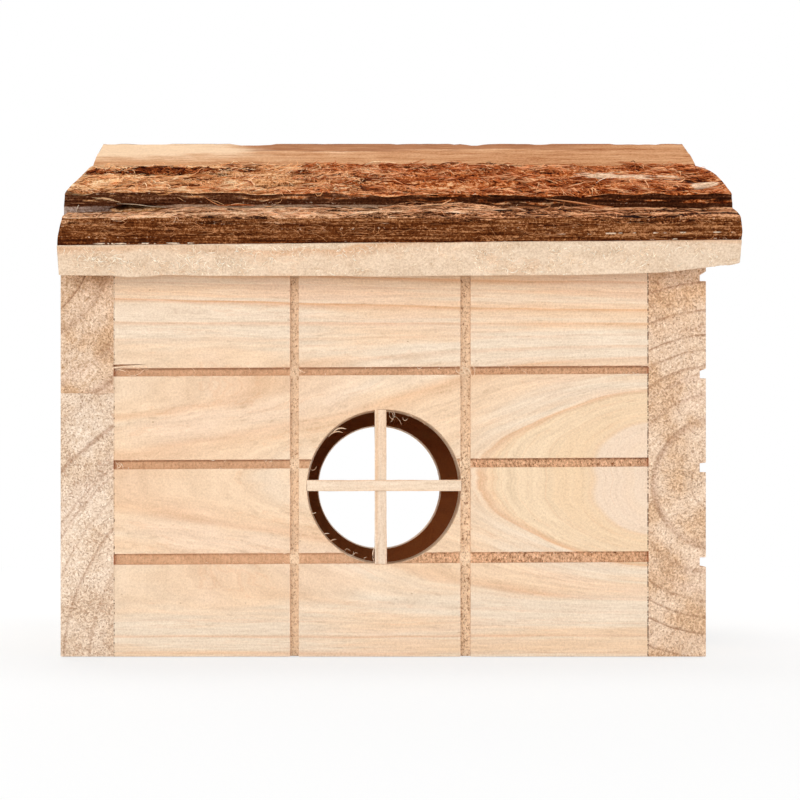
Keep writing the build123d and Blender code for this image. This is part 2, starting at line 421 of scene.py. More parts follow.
def makePine(name, grain, rings, seed, marks=None, tone=1.0, endTone=1.0, woolly=0.0, wash=None):
    finish = Finish(name)
    x, y, z = finish.axes()
    along, across, depth = {"x": (x, z, y), "y": (y, z, x), "z": (z, x, y)}[grain]
    long = {"x": (1, 0, 0), "y": (0, 1, 0), "z": (0, 0, 1)}[grain]
    shift = (seed * 13.7, seed * 5.3, seed * 9.1)

    def stretch(lengthwise, crosswise):
        return [lengthwise if part else crosswise for part in long]

    def grown(lengthwise, crosswise, roughness=0.5, offset=shift):
        return finish.noise(stretch(lengthwise, crosswise), 2.0, roughness, offset)

    def even(scale, detail, roughness, place=None):
        return finish.noise((scale, scale, scale), detail, roughness, shift, place)

    radius, angle = ringRadius(finish, along, across, depth, rings, grown(0.012, 0.045) - 0.5)
    radius = radius + (grown(0.05, 0.25) - 0.5) * 0.7
    wander = grown(0.025, 0.12, 0.5, (3.1 + seed, 1.7, 8.3))
    late = ringLines(finish, radius, across - rings["pith"][0], rings, seed, wander)

    # Streaks follow the rings, so they bend round the eye as well
    flow = finish.join(along, radius, depth * 0.3)
    zones = finish.noise((0.012, 0.28, 0.05), 3.0, 0.6, shift, flow)
    blush = finish.noise((0.02, 0.16, 0.05), 3.0, 0.6, (seed + 1.4, 9.2, 3.7), flow)
    streaks = finish.noise((0.035, 0.9, 0.4), 4.0, 0.62, shift, flow)
    hairs = finish.noise((0.11, 2.2, 1.0), 3.0, 0.7, shift, flow)
    ticks = finish.noise((0.34, 1.9, 1.0), 1.0, 0.5, (seed + 7.7, 4.4, 1.1), flow)
    grit = even(2.1, 2.0, 0.85)
    specks = finish.fall(finish.spots(stretch(0.11, 0.2), shift), 0.022, 0.034)

    color = finish.blend(finish.step(zones, 0.40, 0.60), pine["pale"], pine["warm"])
    color = finish.blend(finish.step(blush, 0.48, 0.66) * 0.6, color, pine["pink"])
    soft = pine["heartEdge"]
    for inside, outside, tint, amount in rings.get("heart", ()):
        zone = finish.step(radius, inside - soft, inside + soft)
        zone = zone * finish.fall(radius, outside - soft, outside + soft)
        color = finish.blend(zone * amount, color, tint)
    if wash:
        color = finish.blend(wash[0], color, wash[1])
    thinLines = finish.fall((streaks - 0.60).math("ABSOLUTE"), 0.0, 0.022)
    color = finish.blend(thinLines * 0.16, color, pine["late"])
    color = finish.blend(late * rings.get("contrast", pine["contrast"]), color, pine["late"])
    grainy = (streaks - 0.5) * 0.18 + (hairs - 0.5) * 0.55
    if "heart" in rings:
        grainy = grainy * finish.step(radius, 13, 21, 0.35, 1.0)
    shade = grainy + (grit - 0.5) * (0.62 + woolly) + tone
    shade = shade - finish.step(ticks, 0.64, 0.76) * 0.12 - specks * 0.34

    # End grain shows where the surface faces along the grain
    board = SimpleNamespace(
        along=along, across=across, depth=depth, z=z, radius=radius, angle=angle, late=late,
        blush=blush, grit=grit, seed=seed, even=even, grown=grown,
    )
    endColor, endShade, endHeight = endGrain(finish, board, rings, endTone)
    ended = finish.step(finish.facing(long).math("ABSOLUTE"), 0.75, 0.95)
    color = finish.blend(ended, color, endColor)
    # painted light: up to 0.07 lighter towards the bottom below z 80, with 0.02 taken off everywhere
    shade = shade + ended * (endShade - shade) + finish.step(z, 80, 0) * 0.07 - 0.02
    height = streaks * 0.4 + hairs * 0.5 + grit * (0.8 + woolly * 2) - late * 0.3 + ended * endHeight

    mark = marks(finish, x, y, z) if marks else {}
    if "groove" in mark:
        groove = (1 - ended) * mark["groove"]
        cut, rough, cutHeight = grooveCut(finish, board, mark)
        color = finish.blend(groove * 0.88, color, cut)
        shade = shade + groove * rough
        height = height + groove * cutHeight
    # painted shade: inside faces are multiplied darker and warmer with pine inner
    if "inner" in mark:
        interiorShade = finish.blend(1.0, color, pine["inner"], "MULTIPLY")
        color = finish.blend(mark["inner"] * (1 - ended), color, interiorShade)
    if "joint" in mark:
        seam = finish.noise((1.0, 1.0, 1.5), 2.0, 0.7, shift)
        seam = finish.step(seam + finish.step(x, -10, 10, -0.10, 0.02), 0.46, 0.54, 0.15, 0.95)
        color = finish.blend(mark["joint"] * seam, color, pine["jointDark"])
    finish.use("Base Color", finish.tone(color, shade))
    finish.use("Roughness", finish.step(streaks, 0.3, 0.7, 0.72, 0.88))
    finish.use("Normal", finish.bump(height, 0.16, 0.85))
    return finish.material


# Bench work: boxes, cuts and softened edges


def deselect():
    if bpy.context.object and bpy.context.object.mode != "OBJECT":
        bpy.ops.object.mode_set(mode="OBJECT")
    bpy.ops.object.select_all(action="DESELECT")


def activate(piece):
    deselect()
    piece.select_set(True)
    bpy.context.view_layer.objects.active = piece


def settle(piece):
    activate(piece)
    bpy.ops.object.transform_apply(location=True, rotation=True, scale=True)
    return piece


def settleAs(name):
    piece = bpy.context.object
    piece.name = name
    piece.data.name = name
    return settle(piece)


def addBox(name, low, high, turn=(0, 0, 0)):
    deselect()
    centre = [(a + b) / 2 * mm for a, b in zip(low, high)]
    size = [(b - a) * mm for a, b in zip(low, high)]
    bpy.ops.mesh.primitive_cube_add(size=1, location=centre, rotation=turn, scale=size)
    return settleAs(name)


def addRound(name, centre, radius, length, axis, sides):
    deselect()
    bpy.ops.mesh.primitive_cylinder_add(
        vertices=sides, radius=radius * mm, depth=length * mm, location=[value * mm for value in centre],
        rotation={"x": (0, math.pi / 2, 0), "y": (math.pi / 2, 0, 0)}[axis],
    )
    return settleAs(name)


def edit(piece):
    activate(piece)
    bpy.ops.object.mode_set(mode="EDIT")
    bpy.ops.mesh.select_mode(type="EDGE")
    bpy.ops.mesh.select_all(action="DESELECT")
    return bmesh.from_edit_mesh(piece.data)


def pickEdges(piece, test):
    for line in edit(piece).edges:
        if test(line):
            line.select_set(True)
    bmesh.update_edit_mesh(piece.data)


def divide(piece, test, cuts):
    pickEdges(piece, test)
    bpy.ops.mesh.subdivide(number_cuts=cuts)
    bpy.ops.object.mode_set(mode="OBJECT")


def cutOff(piece, point, direction):
    edit(piece)
    bpy.ops.mesh.select_all(action="SELECT")
    place = [value * mm for value in point]
    bpy.ops.mesh.bisect(plane_co=place, plane_no=direction, clear_outer=True, use_fill=True)
    bpy.ops.object.mode_set(mode="OBJECT")


def carve(piece, cutters, overlapping=False):
    activate(cutters[0])
    for cutter in cutters:
        cutter.select_set(True)
    if len(cutters) > 1:
        bpy.ops.object.join()
    activate(piece)
    modifier = piece.modifiers.new("cut", "BOOLEAN")
    modifier.operation = "DIFFERENCE"
    modifier.solver = "EXACT"
    modifier.object = cutters[0]
    modifier.use_self = overlapping
    bpy.ops.object.modifier_apply(modifier=modifier.name)
    bpy.data.objects.remove(cutters[0], do_unlink=True)


def soften(piece, width, test, segments=2, sharp=30):
    def picked(line):
        return len(line.link_faces) == 2 and line.calc_face_angle(0) >= math.radians(sharp) and test(line)

    pickEdges(piece, picked)
    bpy.ops.mesh.bevel(offset=width * mm, segments=segments, affect="EDGES")
    bpy.ops.object.mode_set(mode="OBJECT")


def runs(axis, length=1):
    def test(line):
        return abs(line.verts[0].co[axis] - line.verts[1].co[axis]) > length * mm

    return test


def middle(line):
    return (line.verts[0].co + line.verts[1].co) / 2 / mm


def awayFrom(*planes):
    def test(line):
        return all(any(abs(v.co.x / mm - x) > 0.02 for v in line.verts) for x in planes)

    return test


def finishPiece(piece, body, material, nodes=(), smooth=35):
    activate(piece)
    bpy.ops.object.shade_smooth_by_angle(angle=math.radians(smooth))
    piece.data.materials.clear()
    piece.data.materials.append(material)
    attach(piece, body)
    if nodes:
        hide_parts(*nodes)


# Side walls

sideWall = {
    "rows": ((22.3, 2.4), (43.7, 2.0), (64.6, 1.8)),
    "columns": ((52.9, 1.9), (91.6, 2.2)),
    "tilt": math.radians(0.3),
    "grooveDepth": 1.4,
    "windowDiameter": 35.0,
    "windowHeight": 38.4,
    "windowFromLeft": {"front": 73.2, "back": 73.4},
    "edge": 0.14,
    "rim": 0.16,
    "chips": 72,
    "crack": {"from": (-64.5, 65.75), "to": (-56.4, 66.15), "width": 0.55, "depth": 1.1},
}
frontRings = {
    "pith": (40.3, -20.0), "wave": 1.2, "contrast": 0.78, "span": 50,
    "eye": {"along": 58.2, "blunt": 0.6, "length": 60.0, "pull": 840.0, "fade": (14, 36), "tilt": 0.02},
    # Radius, width and depth of each late-wood line above the pith, and below it
    "lines": (
        (13.0, 0.9, 0.18), (19.9, 0.9, 0.66), (27.4, 1.6, 0.42), (30.2, 0.8, 0.40), (32.6, 0.5, 0.18),
        (35.2, 0.9, 0.55), (38.1, 0.8, 0.90), (42.0, 0.5, 0.22), (44.2, 0.8, 0.75),
    ),
    "below": (
        (13.0, 0.9, 0.18), (19.9, 0.9, 0.66), (27.6, 1.5, 0.45), (30.6, 0.8, 0.18), (33.0, 0.5, 0.20),
        (35.8, 0.7, 0.60), (39.6, 0.6, 0.30),
    ),
    "heart": ((-1.0, 12.6, linear(239, 214, 190), 0.7), (12.6, 19.7, linear(238, 207, 168), 0.65)),
}
backRings = dict(frontRings, pith=(25.0, 20.0), eye=dict(frontRings["eye"], along=-66.0, tilt=-0.02))


def windowAt(name):
    return house["left"] + sideWall["windowFromLeft"][name], sideWall["windowHeight"]


def rowLift(x):
    return (x - house["middle"]) * math.tan(sideWall["tilt"])


def onRow(dice, fromX, toX):
    height, width = dice.choice(sideWall["rows"])
    x = dice.uniform(fromX, toX)
    return x, height + rowLift(x) + dice.choice((-0.5, 0.5)) * width


def panelMarks(name, side):
    low, high = boxOf(name + "_wall")
    windowX, windowZ = windowAt(name)

    def marks(finish, x, y, z):
        depth = (y - side * house["halfDepth"]) * -side
        away = (x - windowX).root(z - windowZ) - sideWall["windowDiameter"] / 2
        cross, burn = 0.0, 0.0
        for distance, width in sideWall["columns"]:
            off = (x - (house["left"] + distance)).math("ABSOLUTE")
            cross = finish.fall(off, width / 2, width / 2 + 0.2) + cross
        for height, width in sideWall["rows"]:
            under = z - rowLift(x) - (height + width / 2)
            # painted shadow: a dark band just below the upper edge of each row groove
            burn = finish.step(under, -0.55, -0.25) * finish.fall(under, 0.05, 0.15) + burn
        fromEnd = (x - (low[0] + high[0]) / 2).math("ABSOLUTE") - (high[0] - low[0]) / 2
        groove = finish.step(depth, 0.16, 0.45) * finish.fall(depth, 1.7, 2.6)
        return {
            "groove": groove * finish.step(away, 0.05, 0.2),
            "cross": cross,
            "torn": finish.step(x, -8, 12) * finish.step(z, 47, 50, 1.0, 0.3),
            # the painted groove shadow is weaker on the lower rows
            "burn": burn * (1 - cross) * finish.step(z, 26, 40, 0.3, 1.0),
            # painted shade on the panel's inner face
            "inner": finish.step(depth, 11.6, 11.9),
            "joint": finish.step(fromEnd, -0.34, -0.2) * finish.fall(depth, 0.6, 1.2),
        }

    return marks


def crackWedge(face):
    crack = sideWall["crack"]
    (fromX, fromZ), (toX, toZ) = crack["from"], crack["to"]
    half = crack["width"] / 2
    wedge = addBox("wedge", (fromX, face - 2, fromZ - half), (toX, face + crack["depth"], fromZ + half))
    divide(wedge, runs(0), 12)
    for v in wedge.data.vertices:
        share = (v.co.x / mm - fromX) / (toX - fromX)
        wobble = wavy(v.co.x / mm * 0.8, v.co.z / mm, 3.3) * 0.12
        thin = 1 - share * 0.93
        v.co.z = (fromZ + (toZ - fromZ) * share + (v.co.z / mm - fromZ) * thin + wobble * thin) * mm
    return wedge


def chips(side, face, windowX, windowZ, radius):
    dice = random.Random(11 if side < 0 else 12)
    cutters = []
    for index in range(sideWall["chips"]):
        if index % 4 == 3:
            angle = dice.uniform(0, 2 * math.pi)
            place = (windowX + radius * math.cos(angle), face, windowZ + radius * math.sin(angle))
            size = (dice.uniform(0.5, 1.3), 0.25, dice.uniform(0.12, 0.25))
        else:
            x, z = onRow(dice, -58, 56)
            place = (x, face, z)
            size = (dice.uniform(0.4, 1.8), 0.3, dice.uniform(0.10, 0.30))
        deselect()
        bpy.ops.mesh.primitive_ico_sphere_add(
            subdivisions=2, radius=mm, location=[value * mm for value in place],
            scale=size, rotation=(0, dice.uniform(-0.15, 0.15), 0),
        )
        cutters.append(settle(bpy.context.object))
    return cutters


def makeSideWall(name, side, rings, seed):
    low, high = boxOf(name + "_wall")
    panel = addBox(name + "Panel", low, high)
    face = side * house["halfDepth"]
    near, far = sorted((face - side * sideWall["grooveDepth"], face + side * 2))
    cutters = []
    for height, width in sideWall["rows"]:
        start = (house["middle"] - 90, near, height - width / 2)
        end = (house["middle"] + 90, far, height + width / 2)
        cutters.append(addBox("row", start, end, turn=(0, -sideWall["tilt"], 0)))
    for distance, width in sideWall["columns"]:
        at = house["left"] + distance
        cutters.append(addBox("column", (at - width / 2, near, -5), (at + width / 2, far, high[2] + 5)))
    carve(panel, cutters, overlapping=True)
    soften(panel, sideWall["edge"], awayFrom(low[0], high[0]))
    if side < 0:
        carve(panel, [crackWedge(face)])
    windowX, windowZ = windowAt(name)
    radius = sideWall["windowDiameter"] / 2
    carve(panel, [addRound("hole", (windowX, face, windowZ), radius, 60, "y", 128)])

    def onRim(line):
        ends = [Vector((v.co.x / mm - windowX, v.co.z / mm - windowZ)).length for v in line.verts]
        faces = [abs(abs(v.co.y / mm) - house["halfDepth"]) < 0.02 for v in line.verts]
        return max(abs(end - radius) for end in ends) < 0.02 and all(faces)

    soften(panel, sideWall["rim"], onRim)
    carve(panel, chips(side, face, windowX, windowZ, radius), overlapping=True)
    material = makePine(name + "Pine", "x", rings, seed, panelMarks(name, side))
    finishPiece(panel, "house", material, [name + "_wall"])


makeSideWall("front", -1, frontRings, 2.0)
makeSideWall("back", 1, backRings, 5.0)
print("side walls made")


# Gable walls

gable = {
    "facadeRows": (21.4, 42.8, 64.0, 86.0),
    "facadeWidth": 2.1,
    "columnSpacing": 38.9,
    "grooveDepth": 1.4,
    "doorWidth": 44.0,
    "doorHeight": 54.0,
    "edge": 0.16,
    "doorEdge": 0.5,
    "overPeak": 10,
}
plainBoards = {
    "lower": {
        "seed": 7.0, "endTone": 1.01,
        "rings": {
            "pith": (-2.2, -26.6), "wave": 1.0, "span": 90, "endContrast": 0.9,
            "endWash": linear(234, 213, 192),
            "lines": (
                (42.8, 0.7, 0.60), (48.6, 0.8, 0.55), (53.3, 0.5, 0.65), (57.0, 0.4, 0.45), (58.4, 0.4, 0.45),
                (66.0, 1.0, 0.85), (74.0, 0.9, 0.30), (80.0, 1.2, 0.35),
            ),
        },
    },
    "upper": {
        "seed": 3.0, "endTone": 0.885,
        "rings": {
            "pith": (93.9, -88.4), "wave": 1.0, "span": 60, "endContrast": 0.9, "eaveShade": 0.26,
            "lines": (
                (14.0, 0.7, 0.50), (20.0, 0.5, 0.95), (24.6, 2.6, 0.38), (29.0, 0.8, 0.15), (33.2, 0.6, 0.40),
                (40.0, 1.6, 0.50),
            ),
        },
    },
}
facadeRings = {
    "pith": (39.0, 73.0), "wave": 1.0, "span": 75, "endContrast": 0.9, "eaveShade": 0.2,
    "lines": (
        (6.3, 0.5, 0.60), (15.0, 1.8, 0.50), (20.6, 1.2, 0.40), (26.9, 0.7, 0.70), (30.6, 0.6, 0.75),
        (34.0, 0.5, 0.85), (39.6, 0.7, 0.75), (46.1, 0.6, 0.80), (53.5, 0.6, 0.70),
    ),
}


def cutSlopes(piece):
    for side in (-1, 1):
        cutOff(piece, (0, 0, house["peak"]), slopeFrame(side)[2])


def makePlainGable(part, settings):
    low, high = boxOf("left_wall_lower")
    bottom, top = (low[2], high[2]) if part == "lower" else (high[2], house["peak"] + gable["overPeak"])
    board = addBox("plainGable" + part.title(), (low[0], low[1], bottom), (high[0], high[1], top))
    if part == "upper":
        cutSlopes(board)
    soften(board, gable["edge"], awayFrom(high[0]))

    def marks(finish, x, y, z):
        # painted shade on the board's inner face
        return {"inner": finish.step(x, high[0] - 0.3, high[0] - 0.05)}

    rings, seed, endTone = settings["rings"], settings["seed"], settings["endTone"]
    material = makePine(part + "Pine", "y", rings, seed, marks, endTone=endTone)
    finishPiece(board, "house", material, ["left_wall_" + part])


def makeFacade():
    low, high = boxOf("right_wall")
    facade = addBox("facade", low, (high[0], high[1], high[2] + gable["overPeak"]))
    cutSlopes(facade)
    face, depth = high[0], gable["grooveDepth"]
    half, column = gable["facadeWidth"] / 2, gable["columnSpacing"] / 2
    cutters = []
    for height in gable["facadeRows"]:
        cutters.append(addBox("row", (face - depth, -80, height - half), (face + 3, 80, height + half)))
    for at in (-column, column):
        cutters.append(addBox("column", (face - depth, at - half, -5), (face + 3, at + half, 130)))
    carve(facade, cutters, overlapping=True)
    soften(facade, gable["edge"], awayFrom(low[0]))
    radius = gable["doorWidth"] / 2
    spring = gable["doorHeight"] - radius
    carve(facade, [addBox("opening", (face - 30, -radius, -5), (face + 10, radius, spring))])
    carve(facade, [addRound("arch", (face - 8, 0, spring), radius, 50, "x", 96)])

    def onDoor(line):
        for v in line.verts:
            across, height = v.co.y / mm, v.co.z / mm
            away = math.hypot(across, max(0.0, height - spring)) - radius
            if abs(away) > 0.03 or height < 0.3:
                return False
            if min(abs(v.co.x / mm - face), abs(v.co.x / mm - low[0])) > 0.03:
                return False
        return True

    soften(facade, gable["doorEdge"], onDoor)

    def marks(finish, x, y, z):
        inset = x * -1 + face
        off = (y.math("ABSOLUTE") - column).math("ABSOLUTE")
        return {
            "groove": finish.step(inset, 0.2, 0.5) * finish.fall(inset, 1.6, 2.4),
            "cross": finish.fall(off, half, half + 0.2),
            "torn": 0.35,
            "burn": 0.0,
            # painted shade on the facade's inner face
            "inner": finish.step(inset, 12.6, 12.9),
        }

    material = makePine("facadePine", "y", facadeRings, 1.0, marks, endTone=0.95)
    finishPiece(facade, "house", material, ["right_wall"])


for part, settings in plainBoards.items():
    makePlainGable(part, settings)
makeFacade()
print("gable walls made")


# Window bars: split sticks, half-lapped

bars = {"jitter": 0.05, "lap": 0.05, "cuts": 24, "seed": 7}
noise.seed_set(bars["seed"])
stickRings = {"pith": (60.0, -30.0), "wave": 1.0, "spacing": 1.7, "contrast": 0.35}


def makeBar(node, axis, side, other, material):
    low, high = boxOf(node)
    bar = addBox(node.replace("_", ""), low, high)
    divide(bar, runs(axis, 5), bars["cuts"])
    for v in bar.data.vertices:
        place = v.co / mm
        wave = noise.noise_vector(Vector((place[axis] * 0.12, place.y * 0.3, place[2 - axis] * 0.3)))
        fine = noise.noise_vector(Vector((place[axis] * 0.9, place.y, place[2 - axis])))
        shift = (wave * 2.2 + fine) * bars["jitter"]
        shift[axis] = 0
        v.co += shift * mm
    notchLow, notchHigh = boxOf(other)
    centre = (low[1] + high[1]) / 2
    behind = (axis == 0) == (side < 0)
    notchLow[1], notchHigh[1] = (centre, centre + 5) if behind else (centre - 5, centre)
    for index in (0, 2):
        notchLow[index] -= bars["lap"]
        notchHigh[index] += bars["lap"]
    carve(bar, [addBox("notch", notchLow, notchHigh)])
    finishPiece(bar, "house", material, [node])


crossPine = makePine("crossPine", "x", stickRings, 8.0, tone=0.99, wash=(0.6, linear(241, 221, 198)))
uprightPine = makePine("uprightPine", "z", dict(stickRings, pith=(30.0, -30.0)), 9.0, tone=0.98)
for name, side in (("front", -1), ("back", 1)):
    makeBar(name + "_cross_bar", 0, side, name + "_upright_bar", crossPine)
    makeBar(name + "_upright_bar", 2, side, name + "_cross_bar", uprightPine)
print("window bars made")


# Roof boards, shaped flat on the bench and then set on the slope

roofBoard = {
    "cuts": (140, 36),
    # How far the front board's lower edge hangs down along the eave
    "frontEdge": (
        (-80, 0.05), (-64, 0.15), (-59, 0.60), (-51, 0.08), (-42, 0.25), (0, 0.35), (12, 0.22), (38, 0.05),
        (60, -0.45), (80, -0.50),
    ),
    "waneStart": 58.0,
    "waneRise": 2.3,
    "waveReach": 8.0,
    "deepest": -0.6,
    "tilt": 0.0085,
    "tiltReach": 11,
    "leftEnd": 0.6,
    "edge": 0.16,
    "overRidge": 8,
    "tone": 0.905,
    "woolly": 0.45,
    "wash": (0.75, linear(240, 217, 192)),
}
roofRings = {"pith": (60.0, -120.0), "wave": 3.0, "spacing": 1.3, "contrast": 0.42}


def setOnSlope(piece, side):
    piece.rotation_euler = (-side * roof["pitch"], 0, 0)
    piece.location = (0, side * roof["reach"] * mm, roof["eaveHeight"] * mm)
    settle(piece)


def eaveWave(x, side):
    quick = wavy(x * 0.11, side * 3.0, 4.1) * 0.1
    if side > 0:
        return wavy(x * 0.022, 9.0, 0.3) * 0.6 + quick
    points = roofBoard["frontEdge"]
    for (fromX, fromDrop), (toX, toDrop) in zip(points, points[1:]):
        if fromX <= x <= toX:
            return fromDrop + (toDrop - fromDrop) * ramp(x, fromX, toX) + quick


def eaveTilt(x, up):
    return (x - house["middle"]) * roofBoard["tilt"] * max(0.0, 1 - up / roofBoard["tiltReach"])


def undersideMarks(side):
    eave, _, outward = slopeFrame(side)

    def marks(finish, x, y, z):
        above = finish.place.vector("SUBTRACT", eave).along(outward)
        # painted shade on the board's underside inside the walls
        return {"inner": finish.fall(above, 0.25, 0.4) * finish.fall(y.math("ABSOLUTE"), 42, 44)}

    return marks


def makeRoofBoard(name, side, rings, seed):
    thickness = roof["board"]
    length = roof["reach"] / math.cos(roof["pitch"]) + roofBoard["overRidge"]
    near, far = sorted((0.0, -side * length))
    board = addBox(name + "RoofBoard", (roof["left"], near, 0), (roof["right"], far, thickness))
    for axis, cuts in enumerate(roofBoard["cuts"]):
        divide(board, runs(axis), cuts)
    for v in board.data.vertices:
        x, up, height = v.co.x / mm, abs(v.co.y / mm), v.co.z / mm
        nearEave = max(0.0, 1 - up / roofBoard["waveReach"])
        if height < thickness / 2:
            drop = eaveWave(x, side) * nearEave
            rise = max(0.0, (x - roofBoard["waneStart"]) / (roof["right"] - roofBoard["waneStart"]))
            lift = roofBoard["waneRise"] * rise ** 1.1 * nearEave if side < 0 else 0
            v.co.z += (lift - max(drop, roofBoard["deepest"])) * mm
        elif side < 0:
            v.co.z += eaveTilt(x, up) * mm
        if side < 0 and x < roof["left"] + 0.01:
            v.co.x -= roofBoard["leftEnd"] * mm
        if up < 0.01:
            v.co.y += -side * (0.05 + 0.05 * wavy(x * 0.08, up * 1.1, height * 1.1)) * mm
    soften(board, roofBoard["edge"], lambda line: abs(middle(line).y) < 1 or abs(middle(line).x) > 70, 1, 60)
    setOnSlope(board, side)
    cutOff(board, (0, 0, 0), (0, -side, 0))
    looks = {key: roofBoard[key] for key in ("tone", "woolly", "wash")}
    material = makePine(name + "RoofPine", "x", rings, seed, undersideMarks(side), **looks)
    finishPiece(board, "roof", material, [name + "_roof_board"])
    return board


roofBoards = {
    "front": makeRoofBoard("front", -1, roofRings, 4.0),
    "back": makeRoofBoard("back", 1, dict(roofRings, pith=(60.0, 120.0)), 6.0),
}
print("roof boards made")


# Bark finishes: a sawn cut face, and on top torn fibres or smooth inner bark

bark = {
    "eaveCut": ((60, 21, 2), (88, 41, 12), (110, 57, 23), (138, 82, 43), (200, 140, 94)),
    "middleCut": ((20, 4, 0), (50, 19, 5), (78, 38, 17), (112, 70, 44), (182, 134, 106)),
    "tan": ((104, 46, 12), (196, 128, 74), (230, 166, 110), (246, 190, 138), (255, 222, 178)),
    "red": ((50, 8, 0), (132, 54, 12), (187, 98, 45), (217, 132, 76), (246, 190, 140)),
    "pink": ((44, 14, 0), (132, 80, 44), (200, 143, 101), (230, 176, 132), (250, 208, 170)),
    "brown": ((26, 4, 0), (78, 30, 6), (144, 82, 43), (204, 138, 92), (244, 184, 138)),
    "smooth": ((166, 100, 58), (196, 138, 94), (210, 154, 110), (222, 170, 128), (242, 198, 160)),
    "wool": ((226, 196, 164), (238, 212, 182), (246, 224, 196), (252, 235, 211), (255, 246, 229)),
    "splinter": ((196, 146, 112), (224, 184, 150), (241, 208, 177), (250, 226, 198), (255, 242, 222)),
    "bare": linear(246, 208, 174),
    "paleWood": linear(246, 211, 174),
    "crust": linear(164, 106, 70),
    "creviceShade": linear(38, 12, 2),
    "fleck": linear(244, 222, 196),
}
# Noises of the cut face, of the leaning fibres, of what lies level beside them, and of the smooth bark
barkGrains = {
    "cut": {
        "bands": (0.010, 0.3, 1.1, 3.0, 0.6, 1, 2), "lines": (0.07, 1.0, 2.1, 3.0, 0.75, 3, 2),
        "threads": (1.1, 1.7, 2.4, 2.0, 0.8, 4, 2), "grit": (1.9, 1.9, 2.1, 2.0, 0.85, 5, 2),
        "dashes": (0.16, 1.0, 2.2, 1.0, 0.5, 9, 2), "flecked": (0.03, 0.3, 1.0, 2.0, 0.5, 2, 8),
        "specks": (0.62, 1.0, 0.9, 2.0, 0.75, 7, 7), "stitches": (0.42, 0.0, 0.4, 1.0, 0.5, 1, 5),
    },
    "fibre": {
        "strands": (0.055, 0.42, 0.9, 4.0, 0.7, 0, 0), "threads": (0.32, 1.3, 2.0, 3.0, 0.75, 3, 0),
        "layers": (0.012, 0.50, 0.0, 2.0, 0.6, 2, 6),
    },
    "level": {
        "grit": (1.7, 1.7, 2.0, 2.0, 0.85, 6, 0), "patches": (0.024, 0.11, 0.0, 3.0, 0.6, 8, 0),
    },
    "smooth": {
        "streaks": (0.028, 0.34, 0.6, 4.0, 0.66, 0, 0), "threads": (0.16, 1.3, 1.9, 3.0, 0.7, 3, 0),
        "grit": (1.7, 1.9, 2.1, 2.0, 0.85, 6, 0), "patches": (0.03, 0.12, 0.0, 3.0, 0.6, 8, 0),
        "crust": (0.035, 0.30, 0.0, 3.0, 0.65, 5, 3),
    },
}
barkLooks = {
    "eave": {
        "cut": "eaveCut", "cutLift": 0.45, "cutContrast": 1.0, "glue": (-67, -46), "bandsFrom": 30,
        "left": "pink", "right": "brown", "changeAt": 8, "bareAt": (), "layered": 3.0, "lift": 0.02,
    },
    "middle": {
        "cut": "middleCut", "cutLift": 0.46, "cutContrast": 0.5, "bandsFrom": -5, "darkFrom": 2,
        "sliver": (linear(190, 164, 150), linear(206, 166, 136)),
        "left": "tan", "right": "red", "changeAt": -22, "layered": 0.5, "lift": 0.01,
        "bareAt": ((50, 33, 13, 5.4), (65, 33, 4.0, 3.6), (71, 23, 3.4, 2.8), (9, 30.5, 6, 1.6)),
    },
    "ridge": {"cut": "middleCut", "cutLift": 0.6, "cutContrast": 0.8, "bandsFrom": 0, "paleTo": -38},
}


def palette(finish, value, name):
    return finish.stops(value, [(index / 4, linear(*color)) for index, color in enumerate(bark[name])])


def glueSpots(finish, color, grain, look, across, above):
    raised = above - eaveTilt(across, 0)
    low = finish.step(raised + grain.mix(grit=0.5), 0.10, 0.2) * finish.fall(raised, 0.34, 0.44)
    fromX, toX = look["glue"]
    where = finish.step(across, fromX, fromX + 2) * finish.fall(across, toX, toX + 2)
    thick = finish.step(grain.specks, 0.46, 0.54) * where * low
    sparse = finish.step(grain.specks, 0.58, 0.62) * finish.step(across, 52, 58) * low * 0.8
    line = (above - 2.0 - (across - 40) * 0.012).math("ABSOLUTE")
    stitched = finish.step(grain.stitches, 0.54, 0.60) * finish.fall(line, 0.10, 0.18)
    stitched = stitched * finish.step(across, 32, 38) * 0.9
    for share in (thick, sparse, stitched):
        color = finish.blend(share, color, bark["fleck"])
    return color


def bareSliver(finish, color, grain, look, across, above):
    top = finish.step(across, -60, -44, 5.4, 5.75)
    bare = finish.fall(above + grain.mix(lines=1.4) - top, -0.2, 0.0)
    bare = bare * finish.fall(across, 0, 8) * finish.step(finish.facing((0, look["side"], 0)), 0.4, 0.7)
    grey = finish.tone(look["sliver"][0], grain.mix(threads=2.2, grit=2.4) + 0.90)
    warm = finish.tone(look["sliver"][1], grain.mix(threads=1.6, grit=1.6) + 0.95)
    mottled = finish.step(across + grain.mix(lines=20), -71, -67, 0.95, 0.42)
    bareColor = finish.blend(finish.step(across, -60, -50), grey, warm)
    return finish.blend(bare * finish.step(across, -58, -50, mottled, 0.9), color, bareColor)


